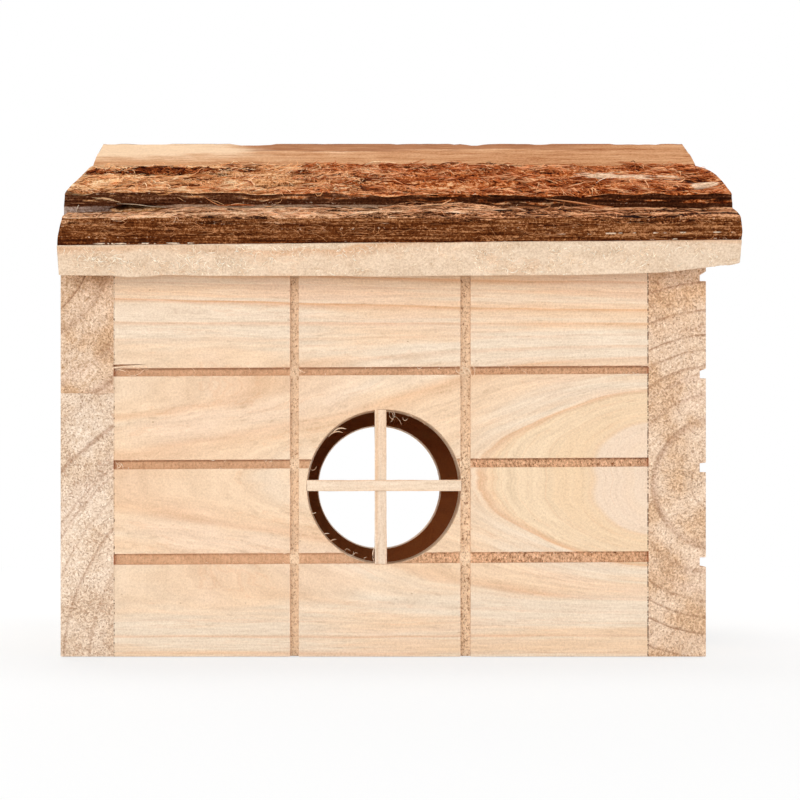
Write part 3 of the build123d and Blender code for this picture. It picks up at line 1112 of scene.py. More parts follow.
def cutFace(finish, places, look, seed):
    across, _, above, bench = places
    grain = Grains(finish, barkGrains["cut"], seed, bench)
    banded = finish.step(across, look["bandsFrom"], look["bandsFrom"] + 40, 0.5, 1.3)
    value = grain.mix(bands=banded * 1.9, lines=2.6, threads=0.9, grit=2.1) * look["cutContrast"]
    level = above / look["thickness"]
    value = value + finish.step(level, 0.0, 0.25, -0.14, 0.02) + finish.step(level, 0.80, 1.0, 0.0, 0.16)
    value = value + finish.step(grain.dashes + grain.mix(grit=0.35), 0.60, 0.68) * 0.16 + look["cutLift"]
    if "darkFrom" in look:
        dark = finish.step(across, look["darkFrom"], look["darkFrom"] + 12) * finish.step(above, 5.9, 6.3)
        value = value - dark * 0.26
    flecks = finish.step(grain.threads + grain.mix(grit=0.5), 0.62, 0.70)
    flecks = flecks * finish.step(grain.flecked, 0.56, 0.66)
    color = finish.blend(flecks * 0.6, palette(finish, value, look["cut"]), bark["fleck"])
    if "glue" in look:
        color = glueSpots(finish, color, grain, look, across, above)
    if "sliver" in look:
        color = bareSliver(finish, color, grain, look, across, above)
    return color, grain.lines * 1.6 + grain.threads * 0.6 + grain.grit * 0.8


def fibreFace(finish, places, look, seed):
    across, up, above, bench = places
    lean = finish.noise((0.03, 0.08, 0.0), 2.0, 0.5, (seed, 4, 0), bench) - 0.5
    grain = Grains(finish, barkGrains["fibre"], seed, finish.join(across, up + lean * 14.0, above))
    level = Grains(finish, barkGrains["level"], seed, bench)
    value = grain.mix(strands=2.2, threads=2.6, layers=look["layered"]) + level.mix(grit=2.4, patches=0.6)
    value = value + look["lift"] + 0.47
    change = across + level.mix(patches=90)
    change = finish.step(change, look["changeAt"] - 25, look["changeAt"] + 25)
    color = finish.blend(change, palette(finish, value, look["left"]), palette(finish, value, look["right"]))
    bare = finish.noise((0.022, 0.13, 0.0), 3.0, 0.6, (seed + 2, 1, 0), bench)
    bare = finish.step(bare + grain.mix(threads=0.3), 0.66, 0.74) * 0.8
    for atX, atUp, halfX, halfUp in look["bareAt"]:
        away = ((across - atX) / halfX).root((up - atUp) / halfUp) + grain.mix(strands=1.6)
        bare = bare.math("MAXIMUM", finish.step(away, 0.75, 1.0, 0.92, 0.0))
    bareTone = finish.tone(bark["bare"], level.mix(grit=1.6) + grain.mix(threads=1.4) + 0.96)
    return finish.blend(bare, color, bareTone), grain.strands * 1.2 + grain.threads + level.grit * 0.7


def smoothFace(finish, places, look, seed):
    across, up, _, bench = places
    grain = Grains(finish, barkGrains["smooth"], seed, bench)
    value = grain.mix(streaks=1.6, threads=1.2, grit=1.1, patches=0.8) + 0.5
    color = palette(finish, value - finish.step(across, -10, 40, 0.0, 0.10), "smooth")
    pale = finish.fall(across + grain.mix(patches=90), look["paleTo"] - 14, look["paleTo"] + 6)
    pale = pale * finish.step(up + grain.mix(streaks=12, threads=5), 57.5, 64.5)
    paleTone = finish.tone(bark["paleWood"], grain.mix(threads=0.3, grit=0.5) + 1.0)
    color = finish.blend(pale * 0.95, color, paleTone)
    span = finish.step(across, -42, -30) * finish.fall(across, 35, 60)
    crust = finish.step(grain.crust + up * 0.06, 4.62, 4.72) * span
    color = finish.blend(crust * 0.75, color, finish.tone(bark["crust"], grain.mix(threads=1.6) + 1.0))
    return color, grain.streaks + grain.threads * 0.7 + grain.grit * 0.5


def makeBark(name, side, face, look, seed):
    finish = Finish(name, 0.9, 0.06)
    eave, uphill, outward = slopeFrame(side)
    fromEave = finish.place.vector("SUBTRACT", eave)
    across, up, above = [fromEave.along(axis) for axis in ((1, 0, 0), uphill, outward)]
    bench = finish.join(across, up, above)
    places = across, up, above - roof["board"], bench
    color, height = cutFace(finish, places, look, seed)
    topColor, topHeight = face(finish, places, look, seed)
    rough = finish.noise((0.25, 0.9, 1.4), 3.0, 0.6, (seed, 2, 2), bench) - 0.5
    onTop = finish.step(finish.facing(outward) + rough * 0.7, 0.28, 0.48)
    color = finish.blend(onTop, color, topColor)
    # painted shade: sunk cracks, crevices and the split are blended towards near-black
    deep = finish.step(finish.attribute("deep", "Fac"), 0.25, 0.95) * 0.85
    finish.use("Base Color", finish.blend(deep, color, bark["creviceShade"]))
    finish.use("Normal", finish.bump(height + onTop * (topHeight - height), 0.42, 0.95))
    return finish.material


# Bark strips, three up each slope: width, then thickness at the lower edge, middle and upper edge

barkStrip = {
    "gap": 0.3,
    "cellsAlong": 300,
    "step": 0.5,
    "lean": 0.6,
    "reliefLimit": 0.4,
    "edgeDrop": 0.5,
    "edgeReach": 0.8,
    "endBulge": (-0.7, 0.5),
    "ridgeWave": (0.15, 0.6),
    "cutDepth": 0.22,
    "cutLines": 0.22,
    "cutHairs": 0.14,
    "raggedEnd": (0.10, 0.12, 0.45),
    "backSeed": 17.0,
    "furrows": 3,
    "furrowDepth": 1.1,
    "strips": {
        "front": ((11.3, 5.8, 5.7, 5.2), (43.7, 8.2, 7.3, 4.6), (None, 4.7, 5.4, 5.8)),
        "back": ((14.0, 5.8, 6.2, 5.4), (36.0, 7.4, 7.6, 5.0), (None, 4.9, 5.6, 5.8)),
    },
    "relief": {"eave": 0.38, "middle": 1.0, "ridge": 0.2},
    "swell": {"at": 9.0, "half": 12.0, "rise": 1.2},
    "droop": {"from": -44.0, "to": -58.0, "fall": 1.3},
    "split": {"from": -61.5, "to": -48.0, "height": 4.9, "half": 0.8, "depth": 3.0},
    "smoothEnds": 3.5,
    # Start and end as across and up the slope, half width and how dark its painted shade is
    "crevices": {
        "eave": (
            (-68.0, 5.6, -44.0, 7.4, 0.5, 2.0), (-50.0, 9.0, -20.0, 8.2, 0.6, 2.2),
            (-34.0, 4.6, -6.0, 5.6, 0.5, 2.0), (-12.0, 9.4, 12.0, 8.6, 0.6, 2.4),
            (6.0, 6.4, 34.0, 5.2, 0.5, 2.2), (22.0, 9.2, 52.0, 8.0, 0.6, 2.6),
            (40.0, 4.4, 66.0, 5.8, 0.5, 2.2), (54.0, 8.4, 74.0, 9.6, 0.6, 2.4),
            (14.0, 3.2, 44.0, 3.8, 0.4, 1.8),
        ),
        "middle": (
            (-76.0, 38.9, -56.0, 38.4, 0.9, 1.0), (-60.0, 38.6, -39.0, 37.2, 1.3, 1.4),
            (-43.0, 37.5, -32.0, 34.5, 1.2, 0.9), (12.5, 38.8, 21.0, 27.5, 2.0, 1.7),
            (19.5, 31.0, 28.0, 25.6, 1.9, 1.6), (-13.0, 29.4, -3.5, 27.6, 1.3, 1.2),
            (-2.0, 20.0, 10.0, 12.6, 2.1, 1.5), (30.0, 41.5, 38.0, 38.6, 1.2, 1.0),
            (61.0, 41.0, 66.0, 30.0, 1.2, 1.0), (40.0, 24.0, 52.0, 20.5, 1.2, 1.0),
            (-28.0, 24.0, -20.0, 22.0, 1.0, 0.9), (-60.0, 29.0, -54.0, 27.6, 0.9, 0.7),
            (-22.0, 17.6, -14.0, 15.8, 0.9, 0.8), (24.0, 18.8, 33.0, 16.4, 1.1, 1.0),
            (2.0, 34.6, 10.0, 32.4, 1.0, 1.0), (-70.0, 20.4, -64.0, 19.6, 0.8, 0.7),
            (51.0, 40.6, 60.0, 39.2, 1.0, 1.1),
        ),
        "ridge": (),
    },
}


def crown(share, thicknesses, furrows):
    lower, centre, upper = thicknesses
    bulge = centre - (lower + upper) / 2
    dip = barkStrip["furrowDepth"] * (1 - math.cos(2 * math.pi * furrows * share)) / 2
    return lower + (upper - lower) * share + bulge * bow(share) - dip


def barkRelief(x, up, seed, crevices):
    leaning = up + wavy(x * 0.02, up * 0.05, seed) * 7
    slow = wavy(x * 0.03, up * 0.09, seed + 1)
    fibre = wavy(x * 0.05, leaning * 0.34, seed + 2)
    thread = wavy(x * 0.20, leaning * 0.95, seed + 3)
    crack = wavy(x * 0.030, leaning * 0.21, seed + 5)
    splinter = wavy(x * 0.085, leaning * 0.48, seed + 7)
    # deep: sunk crack lines, which are also painted dark as shade
    deep = max(0.0, 1 - abs(crack) * 9) + max(0.0, 1 - abs(splinter) * 10) * 0.5
    relief = slow * 0.35 + fibre * 0.7 + thread * 0.4 - deep * 0.75 + 0.05
    for fromX, fromUp, toX, toUp, half, strength in crevices:
        share = (x - fromX) / (toX - fromX)
        if 0 < share < 1:
            off = abs(up - fromUp - (toUp - fromUp) * share - wavy(x * 0.25, fromX, 1.5) * half)
            near = max(0.0, 1 - off / half) * math.sin(math.pi * share) ** 0.4
            relief -= near * 0.9
            deep += near * strength
    return relief, deep


def eaveForm(x, share):
    swell, droop = barkStrip["swell"], barkStrip["droop"]
    rise = swell["rise"] * math.exp(-((x - swell["at"]) / swell["half"]) ** 4)
    return share * (rise - droop["fall"] * ramp(x, droop["from"], droop["to"]))


def splitAt(x, height):
    split = barkStrip["split"]
    wedge = ramp(x, split["to"], split["to"] - 11) * ramp(x, split["from"] - 3, split["from"])
    off = abs(height - split["height"] + wavy(x * 0.28, 0, 2.2) * 0.7)
    return wedge * max(0.0, 1 - off / (split["half"] * (0.3 + 0.7 * wedge)))


def makeBarkStrip(slope, side, name, thicknesses, lowerEdge, upperEdge, seed, material):
    base, lower, step = roof["board"], thicknesses[0], barkStrip["step"]
    near, far = sorted((-side * lowerEdge, -side * upperEdge))
    corners = (roof["left"], near, base), (roof["right"], far, base + lower)
    strip = addBox(slope + name.title() + "Bark", *corners)
    top = (base + lower - 0.01) * mm
    wide = upperEdge - lowerEdge

    def crossTop(line):
        return runs(1)(line) and min(v.co.z for v in line.verts) > top

    def upright(line):
        return runs(2)(line) and abs(abs(line.verts[0].co.y) - lowerEdge * mm) < 0.01 * mm

    divide(strip, runs(0), barkStrip["cellsAlong"])
    divide(strip, crossTop, round(wide / step))
    divide(strip, upright, round(lower / step * 1.4))
    strength = barkStrip["relief"][name]
    furrows = barkStrip["furrows"] if name == "middle" else 0
    crevices = barkStrip["crevices"][name] if slope == "front" else ()
    depths = []
    for v in strip.data.vertices:
        x, up, height = v.co.x / mm, abs(v.co.y / mm), v.co.z / mm - base
        share = min(1.0, max(0.0, (up - lowerEdge) / wide))
        level = height / lower
        relief, deep = barkRelief(x, up, seed, crevices)
        end = min(x - roof["left"], roof["right"] - x)
        inner = ramp(end, 0.0, barkStrip["smoothEnds"])
        full = crown(share, thicknesses, 0)
        limit = full + (crown(share, thicknesses, furrows) - full) * inner
        limit += min(relief * strength, barkStrip["reliefLimit"]) * inner
        limit -= math.exp(-(up - lowerEdge) / barkStrip["edgeReach"]) * barkStrip["edgeDrop"]
        low = 0.0
        if name == "middle":
            limit += (1 - inner) * barkStrip["endBulge"][int(x > 0)] * math.sin(math.pi * share) ** 2
        if name == "ridge" and share > 0.5:
            wave = wavy(x * 0.07, 2.0, 6.0) + wavy(x * 0.3, 5.0, 6.0) * 0.5
            clear, depth = barkStrip["ridgeWave"]
            limit = min(limit, full - clear - max(0.0, wave) * depth * share ** 4)
        if slope == "front" and name == "eave":
            low = eaveTilt(x, up)
            limit += eaveForm(x, share) - low
        v.co.z = (base + low + level * limit) * mm
        if up < lowerEdge + 0.01:
            line = wavy(x * 0.05, height, seed + 9)
            hair = wavy(x * 0.30, height * 2.2, seed + 4)
            inset = barkStrip["cutDepth"] + line * barkStrip["cutLines"] + hair * barkStrip["cutHairs"]
            inset += max(0.0, level - 0.75) * 1.6
            # painted shade in the deeper saw lines of the cut face
            deep = max(0.0, -line - 0.25) * 1.2
            if slope == "front" and name == "middle":
                # the split is cut deeper and painted dark as shade
                opened = splitAt(x, height * limit / lower)
                inset += barkStrip["split"]["depth"] * opened
                deep += opened * 1.6
            v.co.y += -side * inset * mm
        else:
            deep *= strength
        depths.append(deep)
        if end < 0.01:
            depth, ragged, rounded = barkStrip["raggedEnd"]
            inset = depth + wavy(up * 0.16, height * 0.3, seed + 6) * ragged + level ** 3 * rounded
            if x < 0:
                inset -= barkStrip["lean"] - (level * 0.9 if name == "eave" else 0.0)
            v.co.x += (inset if x < 0 else -inset) * mm
    layer = strip.data.attributes.new("deep", "FLOAT", "POINT")
    layer.data.foreach_set("value", depths)
    setOnSlope(strip, side)
    if name == "ridge":
        cutOff(strip, (0, 0, 0), (0, -side, 0))
    slotName = "smooth_bark" if name == "ridge" else "bark"
    finishPiece(strip, "roof", material, [f"{slope}_{name}_bark"], 60)
    return strip


strips = {}
for slope, side in (("front", -1), ("back", 1)):
    lowerEdge = 0.0
    for order, (name, size) in enumerate(zip(barkLooks, barkStrip["strips"][slope])):
        width, *thicknesses = size
        above = roof["board"] + thicknesses[2]
        atRidge = (roof["reach"] + above * math.sin(roof["pitch"])) / math.cos(roof["pitch"])
        upperEdge = atRidge if width is None else lowerEdge + width - barkStrip["gap"]
        seed = order * 3.3 + (0 if side < 0 else barkStrip["backSeed"])
        look = dict(barkLooks[name], thickness=thicknesses[0], side=side)
        face = smoothFace if name == "ridge" else fibreFace
        material = makeBark(slope + name.title() + "Look", side, face, look, seed)
        edges = lowerEdge, upperEdge
        strips[slope, name] = makeBarkStrip(slope, side, name, thicknesses, *edges, seed, material)
        lowerEdge = upperEdge + barkStrip["gap"]
print("bark strips made")


# Loose fibres: thin bent strands on a surface, each with its own tint

strand = {"sides": 3, "segments": 4, "tip": 0.3, "clear": 0.03, "jump": 1.1}


def makeStrandLook(name):
    finish = Finish(name, 0.9, 0.08)
    grit = finish.noise((2.0, 2.0, 2.0), 2.0, 0.8)
    finish.use("Base Color", finish.tone(finish.attribute("tint", "Color"), (grit - 0.5) * 1.2 + 1.0))
    finish.use("Normal", finish.bump(grit, 0.08, 0.6))
    return finish.material


def tintOf(name, share, tone=1.0):
    colors = [linear(*color) for color in bark[name]]
    share = min(0.999, max(0.0, share)) * 4
    first, second = colors[int(share)], colors[int(share) + 1]
    return [(a + (b - a) * (share % 1)) * tone for a, b in zip(first[:3], second[:3])]


def addStrand(verts, faces, tints, path, radius, tint):
    start, count, sides = len(verts), len(path), strand["sides"]
    for index, point in enumerate(path):
        ahead = (path[min(index + 1, count - 1)] - path[max(index - 1, 0)]).normalized()
        sideways = ahead.cross(Vector((0.02, 0.03, 1))).normalized()
        upward = sideways.cross(ahead)
        share = index / (count - 1)
        thick = radius * (1 - (1 - strand["tip"]) * abs(2 * share - 1) ** 1.5)
        for corner in range(sides):
            turn = 2 * math.pi * corner / sides
            verts.append(point + (sideways * math.cos(turn) + upward * math.sin(turn)) * thick)
            tints += [value * (0.8 + 0.4 * share) for value in tint] + [1.0]
    for index in range(count - 1):
        for corner in range(sides):
            a = start + index * sides + corner
            b = start + index * sides + (corner + 1) % sides
            faces.append((a, b, b + sides, a + sides))
    faces.append([start + corner for corner in reversed(range(sides))])
    faces.append([start + (count - 1) * sides + corner for corner in range(sides)])


def joinStrands(name, strands, body):
    verts, faces, tints = [], [], []
    for path, radius, tint in strands:
        addStrand(verts, faces, tints, path, radius, tint)
    mesh = bpy.data.meshes.new(name)
    mesh.from_pydata([v * mm for v in verts], [], faces)
    mesh.color_attributes.new("tint", "FLOAT_COLOR", "POINT").data.foreach_set("color", tints)
    piece = bpy.data.objects.new(name, mesh)
    bpy.context.collection.objects.link(piece)
    finishPiece(piece, body, fibreLook, (), 80)


def surfaceTree(pieces):
    corners, polygons = [], []
    for piece in pieces:
        first = len(corners)
        corners += [v.co / mm for v in piece.data.vertices]
        polygons += [[first + index for index in polygon.vertices] for polygon in piece.data.polygons]
    return BVHTree.FromPolygons(corners, polygons)


def sheetOf(kind, side):
    eave, uphill, outward = slopeFrame(side)
    if kind == "slope":
        return {"corner": eave, "up": uphill, "out": outward}
    return {"corner": eave, "up": outward, "out": -uphill}


def layFibre(tree, sheet, x, up, fibre):
    path = []
    last = None
    for index in range(strand["segments"] + 1):
        share = index / strand["segments"]
        angle = fibre["heading"] + fibre["curl"] * (share - 0.5)
        reach = fibre["length"] * share
        away = Vector((x + math.cos(angle) * reach, 0, 0)) + sheet["up"] * (up + math.sin(angle) * reach)
        hit = tree.ray_cast(sheet["corner"] + away + sheet["out"] * 40, -sheet["out"])[0]
        if hit is None:
            return None
        level = (hit - sheet["corner"]).dot(sheet["out"])
        if last is not None and abs(level - last) > strand["jump"]:
            return None
        last = level
        lift = fibre["root"] + (fibre["end"] - fibre["root"]) * share + fibre["arch"] * bow(share)
        path.append(hit + sheet["out"] * (strand["clear"] + lift))
    return path


# What a mat doesn't say itself; sizes in mm, headings and curls in radians
matDefaults = {
    "on": "bark", "sheet": "slope", "side": -1, "across": (roof["left"] + 0.5, roof["right"] - 0.5),
    "heading": (0.0, 0.0), "loose": 0.22, "changeAt": 0, "patchy": 0.14, "sparse": (-0.6, 0.15),
    "bareAt": (), "crevices": (),
}
mats = {
    "frontMiddle": {
        "clumps": 400, "each": (8, 20), "up": (11.4, 55.2), "length": (2.4, 9.5), "radius": (0.07, 0.16),
        "arch": 0.4, "end": 0.6, "heading": (0.0, -0.42), "colors": ("tan", "red"), "changeAt": -22,
        "bright": 0.30, "patchy": 0.22, "bareAt": barkLooks["middle"]["bareAt"],
        "crevices": barkStrip["crevices"]["middle"],
    },
    "frontEave": {
        "clumps": 110, "each": (4, 10), "up": (0.5, 10.9), "length": (2.0, 9.0), "radius": (0.07, 0.15),
        "arch": 0.15, "end": 0.15, "colors": ("pink", "brown"), "changeAt": 8, "bright": 0.30, "patchy": 0.2,
    },
    "frontRidge": {
        "clumps": 60, "each": (6, 14), "up": (52.2, 55.4), "across": (-24, 74), "length": (2.0, 6.0),
        "radius": (0.07, 0.14), "arch": 0.4, "end": 0.7, "heading": (-0.1, -0.3), "colors": ("red", "red"),
        "bright": 0.1, "sparse": (-0.3, 0.4), "patchy": 0.2,
    },
    # painted shade: darkened strands along the crest stand in for the shadow line below the ridge strip
    "frontCrestShade": {
        "clumps": 120, "each": (8, 18), "up": (39.2, 42.4), "across": (-76, -34), "length": (2.0, 8.0),
        "radius": (0.08, 0.16), "arch": 0.4, "end": 0.6, "heading": (0.0, -0.05), "colors": ("red", "red"),
        "bright": -0.8, "patchy": 0.12, "sparse": (-1.0, -0.1),
    },
    "frontCut": {
        "sheet": "edge", "clumps": 240, "each": (1, 3), "up": (8.6, 12.8), "length": (1.5, 6.0),
        "radius": (0.05, 0.08), "arch": 0.06, "end": 0.05, "colors": ("eaveCut", "eaveCut"),
        "bright": 0.5, "loose": 0.0,
    },
    "frontCurls": {
        "clumps": 60, "each": (4, 9), "up": (16.0, 41.0), "across": (-46, -8), "length": (0.8, 2.6),
        "radius": (0.06, 0.11), "arch": 0.5, "end": 0.5, "colors": ("tan", "tan"), "changeAt": -34,
        "bright": 0.35, "loose": 1.0,
    },
    "backMiddle": {
        "side": 1, "clumps": 300, "each": (8, 18), "up": (14.1, 49.6), "length": (2.0, 7.5),
        "radius": (0.06, 0.13), "arch": 0.35, "end": 0.55, "heading": (-0.35, 0.1),
        "colors": ("red", "tan"), "changeAt": 20, "bright": 0.30,
    },
    "backEave": {
        "side": 1, "clumps": 120, "each": (4, 10), "up": (0.5, 13.4), "length": (2.0, 8.0),
        "radius": (0.06, 0.12), "arch": 0.12, "end": 0.12, "colors": ("brown", "pink"), "changeAt": -10,
        "bright": 0.25,
    },
    "frontWool": {
        "on": "wood", "sheet": "edge", "clumps": 420, "each": (1, 4), "up": (0.4, 6.6), "length": (0.5, 2.2),
        "radius": (0.055, 0.095), "arch": 0.22, "end": 0.14, "colors": ("wool", "wool"), "bright": 0.6,
        "loose": 1.0, "sparse": (-0.3, 0.3),
    },
    "backWool": {
        "on": "wood", "sheet": "edge", "side": 1, "clumps": 420, "each": (1, 3), "up": (0.4, 7.0),
        "length": (0.6, 2.2), "radius": (0.045, 0.075), "arch": 0.22, "end": 0.18, "colors": ("wool", "wool"),
        "bright": 0.25, "loose": 1.0,
    },
}
fibreLook = makeStrandLook("fibreLook")


def inCrevice(x, up, fromX, fromUp, toX, toUp, half, strength):
    share = (x - fromX) / (toX - fromX)
    return 0 < share < 1 and abs(up - fromUp - (toUp - fromUp) * share) < half + 0.6


def isFree(x, up, mat):
    bare = any(((x - a) / c) ** 2 + ((up - b) / d) ** 2 < 0.9 for a, b, c, d in mat["bareAt"])
    return not bare and not any(inCrevice(x, up, *crevice) for crevice in mat["crevices"])


def drawFibre(dice, mat, heading, size):
    loose = mat["loose"]
    fibre = {
        "heading": heading + dice.gauss(0, 0.16 + loose * 0.5),
        "length": size * dice.uniform(0.5, 1.2),
        "curl": dice.gauss(0, 0.5) if dice.random() < 0.85 else dice.uniform(-2.4, 2.4),
        "root": mat["arch"] * dice.random() * 0.6,
        "arch": mat["arch"] * dice.random(),
        "end": mat["end"] * dice.random() ** 1.5,
    }
    if dice.random() < 0.5 and loose > 0.5:
        fibre["heading"] += math.pi
    if dice.random() < 0.02:
        fibre["end"] += dice.uniform(0.3, 1.2) * min(1.0, mat["end"] * 2)
    return fibre


def makeFibreMat(name, mat, seed):
    dice = random.Random(seed)
    slope = "front" if mat["side"] < 0 else "back"
    onWood = mat["on"] == "wood"
    tree = surfaceTree([roofBoards[slope]] if onWood else [strips[slope, part] for part in barkLooks])
    sheet = sheetOf(mat["sheet"], mat["side"])
    shortest, longest = mat["length"]
    first, second = mat["heading"]
    strands = []
    clumps = 0
    while clumps < mat["clumps"]:
        x = dice.uniform(*mat["across"])
        up = dice.uniform(*mat["up"])
        if wavy(x * 0.05, up * 0.20, seed) < dice.uniform(*mat["sparse"]) or not isFree(x, up, mat):
            continue
        clumps += 1
        right = ramp(x + wavy(x * 0.05, up * 0.2, 3.0) * 40, mat["changeAt"] - 25, mat["changeAt"] + 25)
        heading = first + (second - first) * right + dice.gauss(0, mat["loose"])
        size = shortest + (longest - shortest) * dice.random() ** 1.6
        clumpShare = dice.gauss(0, mat["patchy"])
        for _ in range(dice.randint(*mat["each"])):
            fibre = drawFibre(dice, mat, heading, size)
            reach = math.cos(fibre["heading"]) * fibre["length"]
            startX = x + dice.gauss(0, 0.7) - reach / 2
            startUp = up + dice.gauss(0, 0.6) - math.sin(fibre["heading"]) * fibre["length"] / 2
            left, farRight = sorted((startX, startX + reach))
            if left < roof["left"] + 0.5 or farRight > roof["right"] - 0.7:
                continue
            path = layFibre(tree, sheet, startX, startUp, fibre)
            if path is None:
                continue
            colors = mat["colors"][1 if dice.random() < right else 0]
            share = dice.betavariate(1.5, 1.3) + mat["bright"] * 0.4 + clumpShare
            tint = tintOf(colors, share, dice.uniform(0.88, 1.12))
            strands.append((path, dice.uniform(*mat["radius"]), tint))
    joinStrands(name + "Fibres", strands, "roof")
    print(name, len(strands))


for order, (name, mat) in enumerate(mats.items()):
    makeFibreMat(name, dict(matDefaults, **mat), 31 + order)


# Long loose splinters: start and end as across, up the slope and above it, then thickness, bend and colour

looseSplinters = (
    ((33.6, 11.0, 14.4), (46.2, 7.4, 13.3), 0.17, 0.25, "red", 0.85),
    ((36.0, 11.2, 14.1), (48.5, 8.6, 13.2), 0.10, -0.2, "red", 0.7),
    ((-43.0, 11.4, 14.9), (-38.6, 9.4, 13.1), 0.10, -0.3, "red", 0.8),
    ((-42.0, 11.4, 14.2), (-37.6, 9.2, 13.0), 0.06, 0.3, "tan", 0.7),
    ((-40.0, 9.4, 13.2), (-31.5, 9.2, 13.4), 0.16, 0.2, "red", 0.45),
    ((-38.0, 9.2, 13.1), (-34.0, 9.6, 13.6), 0.09, 0.3, "tan", 0.8),
    ((-68.0, 11.4, 14.6), (-61.5, 10.6, 13.7), 0.11, 0.2, "tan", 0.95),
    ((-67.2, 11.1, 14.4), (-63.0, 10.8, 14.3), 0.10, 0.2, "tan", 0.9),
    ((-62.5, 11.3, 13.2), (-55.0, 11.0, 12.7), 0.10, 0.2, "wool", 0.3),
    ((-58.0, 11.2, 13.0), (-51.5, 10.8, 12.6), 0.08, -0.1, "wool", 0.4),
    ((-71.0, 11.2, 13.0), (-71.6, 10.8, 11.6), 0.08, 0.2, "wool", 0.8),
    ((17.2, 12.0, 15.0), (18.0, 11.6, 15.5), 0.08, 0.1, "wool", 0.6),
    ((-7.0, 55.6, 12.0), (1.0, 56.2, 12.3), 0.32, 0.3, "tan", 0.95),
    ((-6.5, 55.4, 12.1), (-2.5, 55.8, 12.6), 0.26, 0.3, "tan", 0.99),
    ((-49.0, 11.3, 14.6), (-47.5, 11.2, 13.8), 0.07, 0.2, "tan", 0.7),
    ((46.0, 22.0, 15.3), (49.0, 25.0, 15.9), 0.08, 0.2, "wool", 0.7),
)


def makeLooseSplinters():
    sheet = sheetOf("slope", -1)
    strands = []
    for start, end, radius, bend, colors, share in looseSplinters:
        path = []
        for index in range(strand["segments"] + 1):
            part = index / strand["segments"]
            x, up, above = [a + (b - a) * part for a, b in zip(start, end)]
            above += bend * bow(part)
            path.append(sheet["corner"] + Vector((x, 0, 0)) + sheet["up"] * up + sheet["out"] * above)
        strands.append((path, radius, tintOf(colors, share)))
    joinStrands("looseSplinters", strands, "roof")


makeLooseSplinters()


# Splinters of the saw cuts: start and end across and up from the window's middle, thickness and bend

splinters = {
    "rim": (
        (0.9, 17.4, 1.6, 14.7, 0.07, 0.3), (1.4, 17.4, 2.4, 15.1, 0.06, -0.3),
        (1.9, 17.2, 2.2, 15.6, 0.06, 0.2), (2.2, 16.0, 3.9, 13.9, 0.05, 0.15),
        (4.1, 15.8, 5.4, 15.5, 0.08, -0.5), (5.3, 16.1, 6.4, 15.6, 0.08, 0.35),
        (8.1, 14.7, 9.1, 14.0, 0.07, 0.3), (-12.6, 11.3, -9.4, 12.3, 0.17, 0.2),
        (-11.8, 12.0, -8.6, 13.1, 0.19, 0.2), (-11.1, 12.7, -9.3, 13.3, 0.12, 0.1),
        (-17.0, 4.4, -15.3, 4.6, 0.06, -0.45), (-16.5, -6.2, -15.4, -5.8, 0.11, 0.0),
        (-13.9, -10.8, -12.4, -10.6, 0.10, 0.1), (-12.4, -12.4, -10.8, -11.9, 0.13, 0.1),
        (-9.0, -14.9, -7.6, -14.5, 0.07, 0.5), (-8.1, -15.2, -6.9, -14.6, 0.06, -0.5),
        (-6.9, -15.9, -5.9, -15.0, 0.07, 0.4), (-4.6, -16.6, -3.9, -15.9, 0.06, 0.3),
        (-2.15, -13.5, -2.35, -16.9, 0.13, -0.1), (12.8, 11.8, 13.3, 11.2, 0.07, 0.2),
    ),
    "grooves": (
        (17.0, 26.9, 19.8, 25.0, 0.10, 0.25), (18.0, 27.4, 19.2, 25.4, 0.07, -0.3),
        (19.6, 27.6, 20.2, 24.9, 0.08, 0.2), (17.8, 25.6, 16.2, 27.2, 0.07, 0.3),
        (58.0, 27.1, 60.4, 26.3, 0.10, 0.3), (59.6, 27.4, 60.6, 25.6, 0.07, 0.2),
        (-20.0, 26.6, -18.9, 25.2, 0.08, 0.3), (-21.2, 26.9, -20.4, 25.4, 0.06, -0.2),
        (-61.0, 5.4, -59.6, 4.4, 0.12, 0.2), (-60.6, 4.2, -59.4, 5.2, 0.08, -0.2),
        (-61.0, 26.4, -58.4, 26.0, 0.13, 0.1), (-57.0, 26.7, -54.6, 26.3, 0.09, 0.1),
        (-60.4, 26.9, -53.6, 27.2, 0.12, 0.02), (-60.8, 26.0, -56.0, 26.9, 0.10, 0.12),
        (-58.6, 25.6, -54.2, 26.6, 0.07, -0.2), (-55.8, 25.9, -53.4, 26.8, 0.09, 0.35),
        (-54.6, 26.2, -53.0, 25.8, 0.06, 0.4), (-60.2, 25.5, -57.6, 25.9, 0.06, 0.3),
        (-43.6, 26.9, -42.9, 25.9, 0.06, 0.2), (-31.4, 27.2, -30.2, 26.0, 0.06, 0.2),
        (-19.6, 27.0, -17.8, 25.8, 0.12, -0.1), (-60.9, 5.8, -60.2, 4.0, 0.07, 0.1),
        (-60.0, 5.6, -59.0, 4.0, 0.09, 0.15), (18.8, 27.2, 20.6, 26.6, 0.07, 0.3),
        (27.5, 27.6, 28.3, 26.4, 0.05, 0.2), (31.0, 26.4, 32.6, 25.2, 0.04, 0.1),
    ),
    "depths": {"rim": -0.15, "grooves": 0.02},
    "nibs": 260,
}


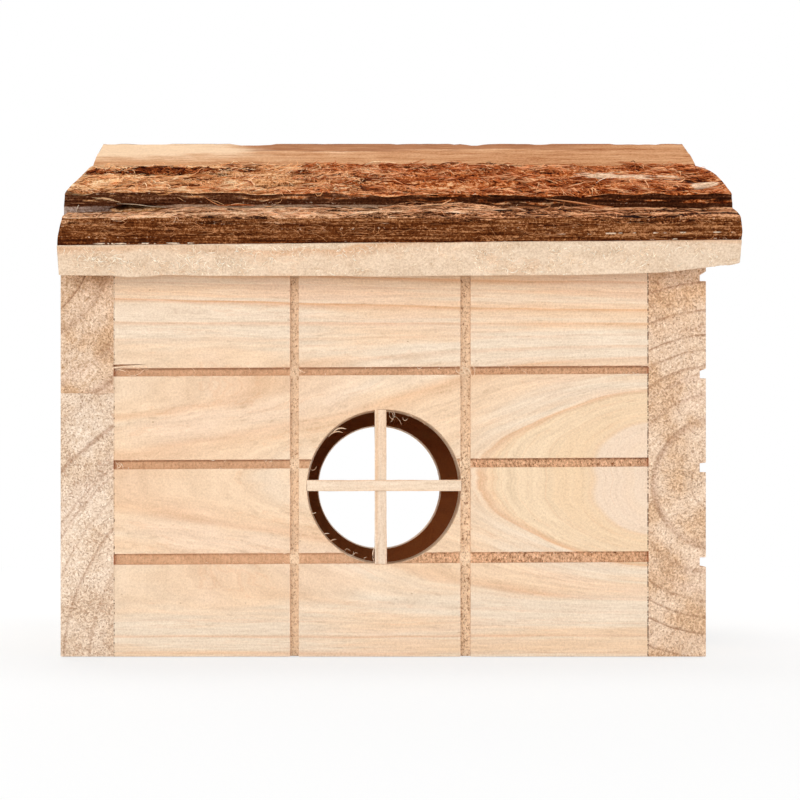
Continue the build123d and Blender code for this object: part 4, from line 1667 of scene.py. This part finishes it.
def makeSplinters(name, side):
    dice = random.Random(51 + side)
    windowX, windowZ = windowAt(name)
    strands = []

    def lay(start, end, radius, bend, depth, tint):
        path = []
        along = Vector((end[0] - start[0], 0, end[1] - start[1]))
        aside = Vector((-along.z, 0, along.x))
        first = Vector((start[0], side * house["halfDepth"] + side * depth, start[1]))
        for index in range(strand["segments"] + 1):
            share = index / strand["segments"]
            bent = aside * bend * bow(share)
            path.append(first + along * share + bent + Vector((0, side * 0.12 * share, 0)))
        strands.append((path, radius, tint))

    for group in ("rim", "grooves") if side < 0 else ("grooves",):
        for startX, startZ, endX, endZ, radius, bend in splinters[group]:
            start = (windowX - side * startX, windowZ + startZ)
            end = (windowX - side * endX, windowZ + endZ)
            tint = tintOf("splinter", dice.uniform(0.2, 0.9))
            lay(start, end, radius, bend, splinters["depths"][group], tint)
    for _ in range(splinters["nibs"]):
        level = dice.random() < 0.6
        if level:
            x, z = onRow(dice, -61, 55)
        else:
            distance, width = dice.choice(sideWall["columns"])
            x = house["left"] + distance + dice.choice((-0.5, 0.5)) * width
            z = dice.uniform(1, 84)
        if math.hypot(x - windowX, z - windowZ) < sideWall["windowDiameter"] / 2 + 0.6:
            continue
        length = dice.uniform(0.3, 1.1)
        angle = dice.uniform(0, 2 * math.pi)
        end = (x + math.cos(angle) * length, z + math.sin(angle) * length * 0.6)
        share = dice.uniform(0.0, 1.0 if level else 0.6)
        lay((x, z), end, dice.uniform(0.035, 0.065), dice.uniform(-0.4, 0.4), 0.0, tintOf("splinter", share))
    joinStrands(name + "Splinters", strands, "house")


makeSplinters("front", -1)
makeSplinters("back", 1)
print("fibres and splinters laid")


# Cleats and brads keep their solids and get their finish

steelPaint = (linear(176, 178, 182), linear(120, 118, 116))
cleatPine = makePine("cleatPine", "y", {"pith": (150.0, 40.0), "wave": 2.0, "spacing": 3.5}, 12.0)
steel = Finish("bradSteel", 0.35)
steel.use("Metallic", 1.0)
steel.use("Base Color", steel.blend(steel.noise((0.8, 0.8, 0.8)), *steelPaint))
steel.use("Normal", steel.bump(steel.noise((3, 3, 3)), 0.05, 0.5))
for nodes, material in (
    (("left_cleat", "right_cleat"), cleatPine), (("corner_brads", "cleat_brads"), steel.material),
):
    for node in nodes:
        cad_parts[node].data.materials.clear()
        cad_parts[node].data.materials.append(material)
print("cleats and brads finished")


# Floor: white to the camera away from the house, so that only the shadow shows


def makeFloor():
    deselect()
    bpy.ops.mesh.primitive_plane_add(size=6.0, location=(0, 0, -0.0002))
    floor = settleAs("floor")
    finish = Finish("floorPaint", 0.9)
    finish.use("Base Color", view["floor"])
    seen = finish.add("LightPath", {}, {}, "Is Camera Ray")
    lit = finish.add("Emission", {}, {"Color": view["white"]})
    share = finish.step(finish.place.vector("LENGTH"), 130, 420, 0.72, 1.0) * seen
    paint = Wire(finish, finish.shader.outputs[0])
    mixed = finish.add("MixShader", {}, (share, paint, lit))
    finish.plug(finish.nodes["Material Output"].inputs[0], mixed)
    floor.data.materials.append(finish.material)


makeFloor()
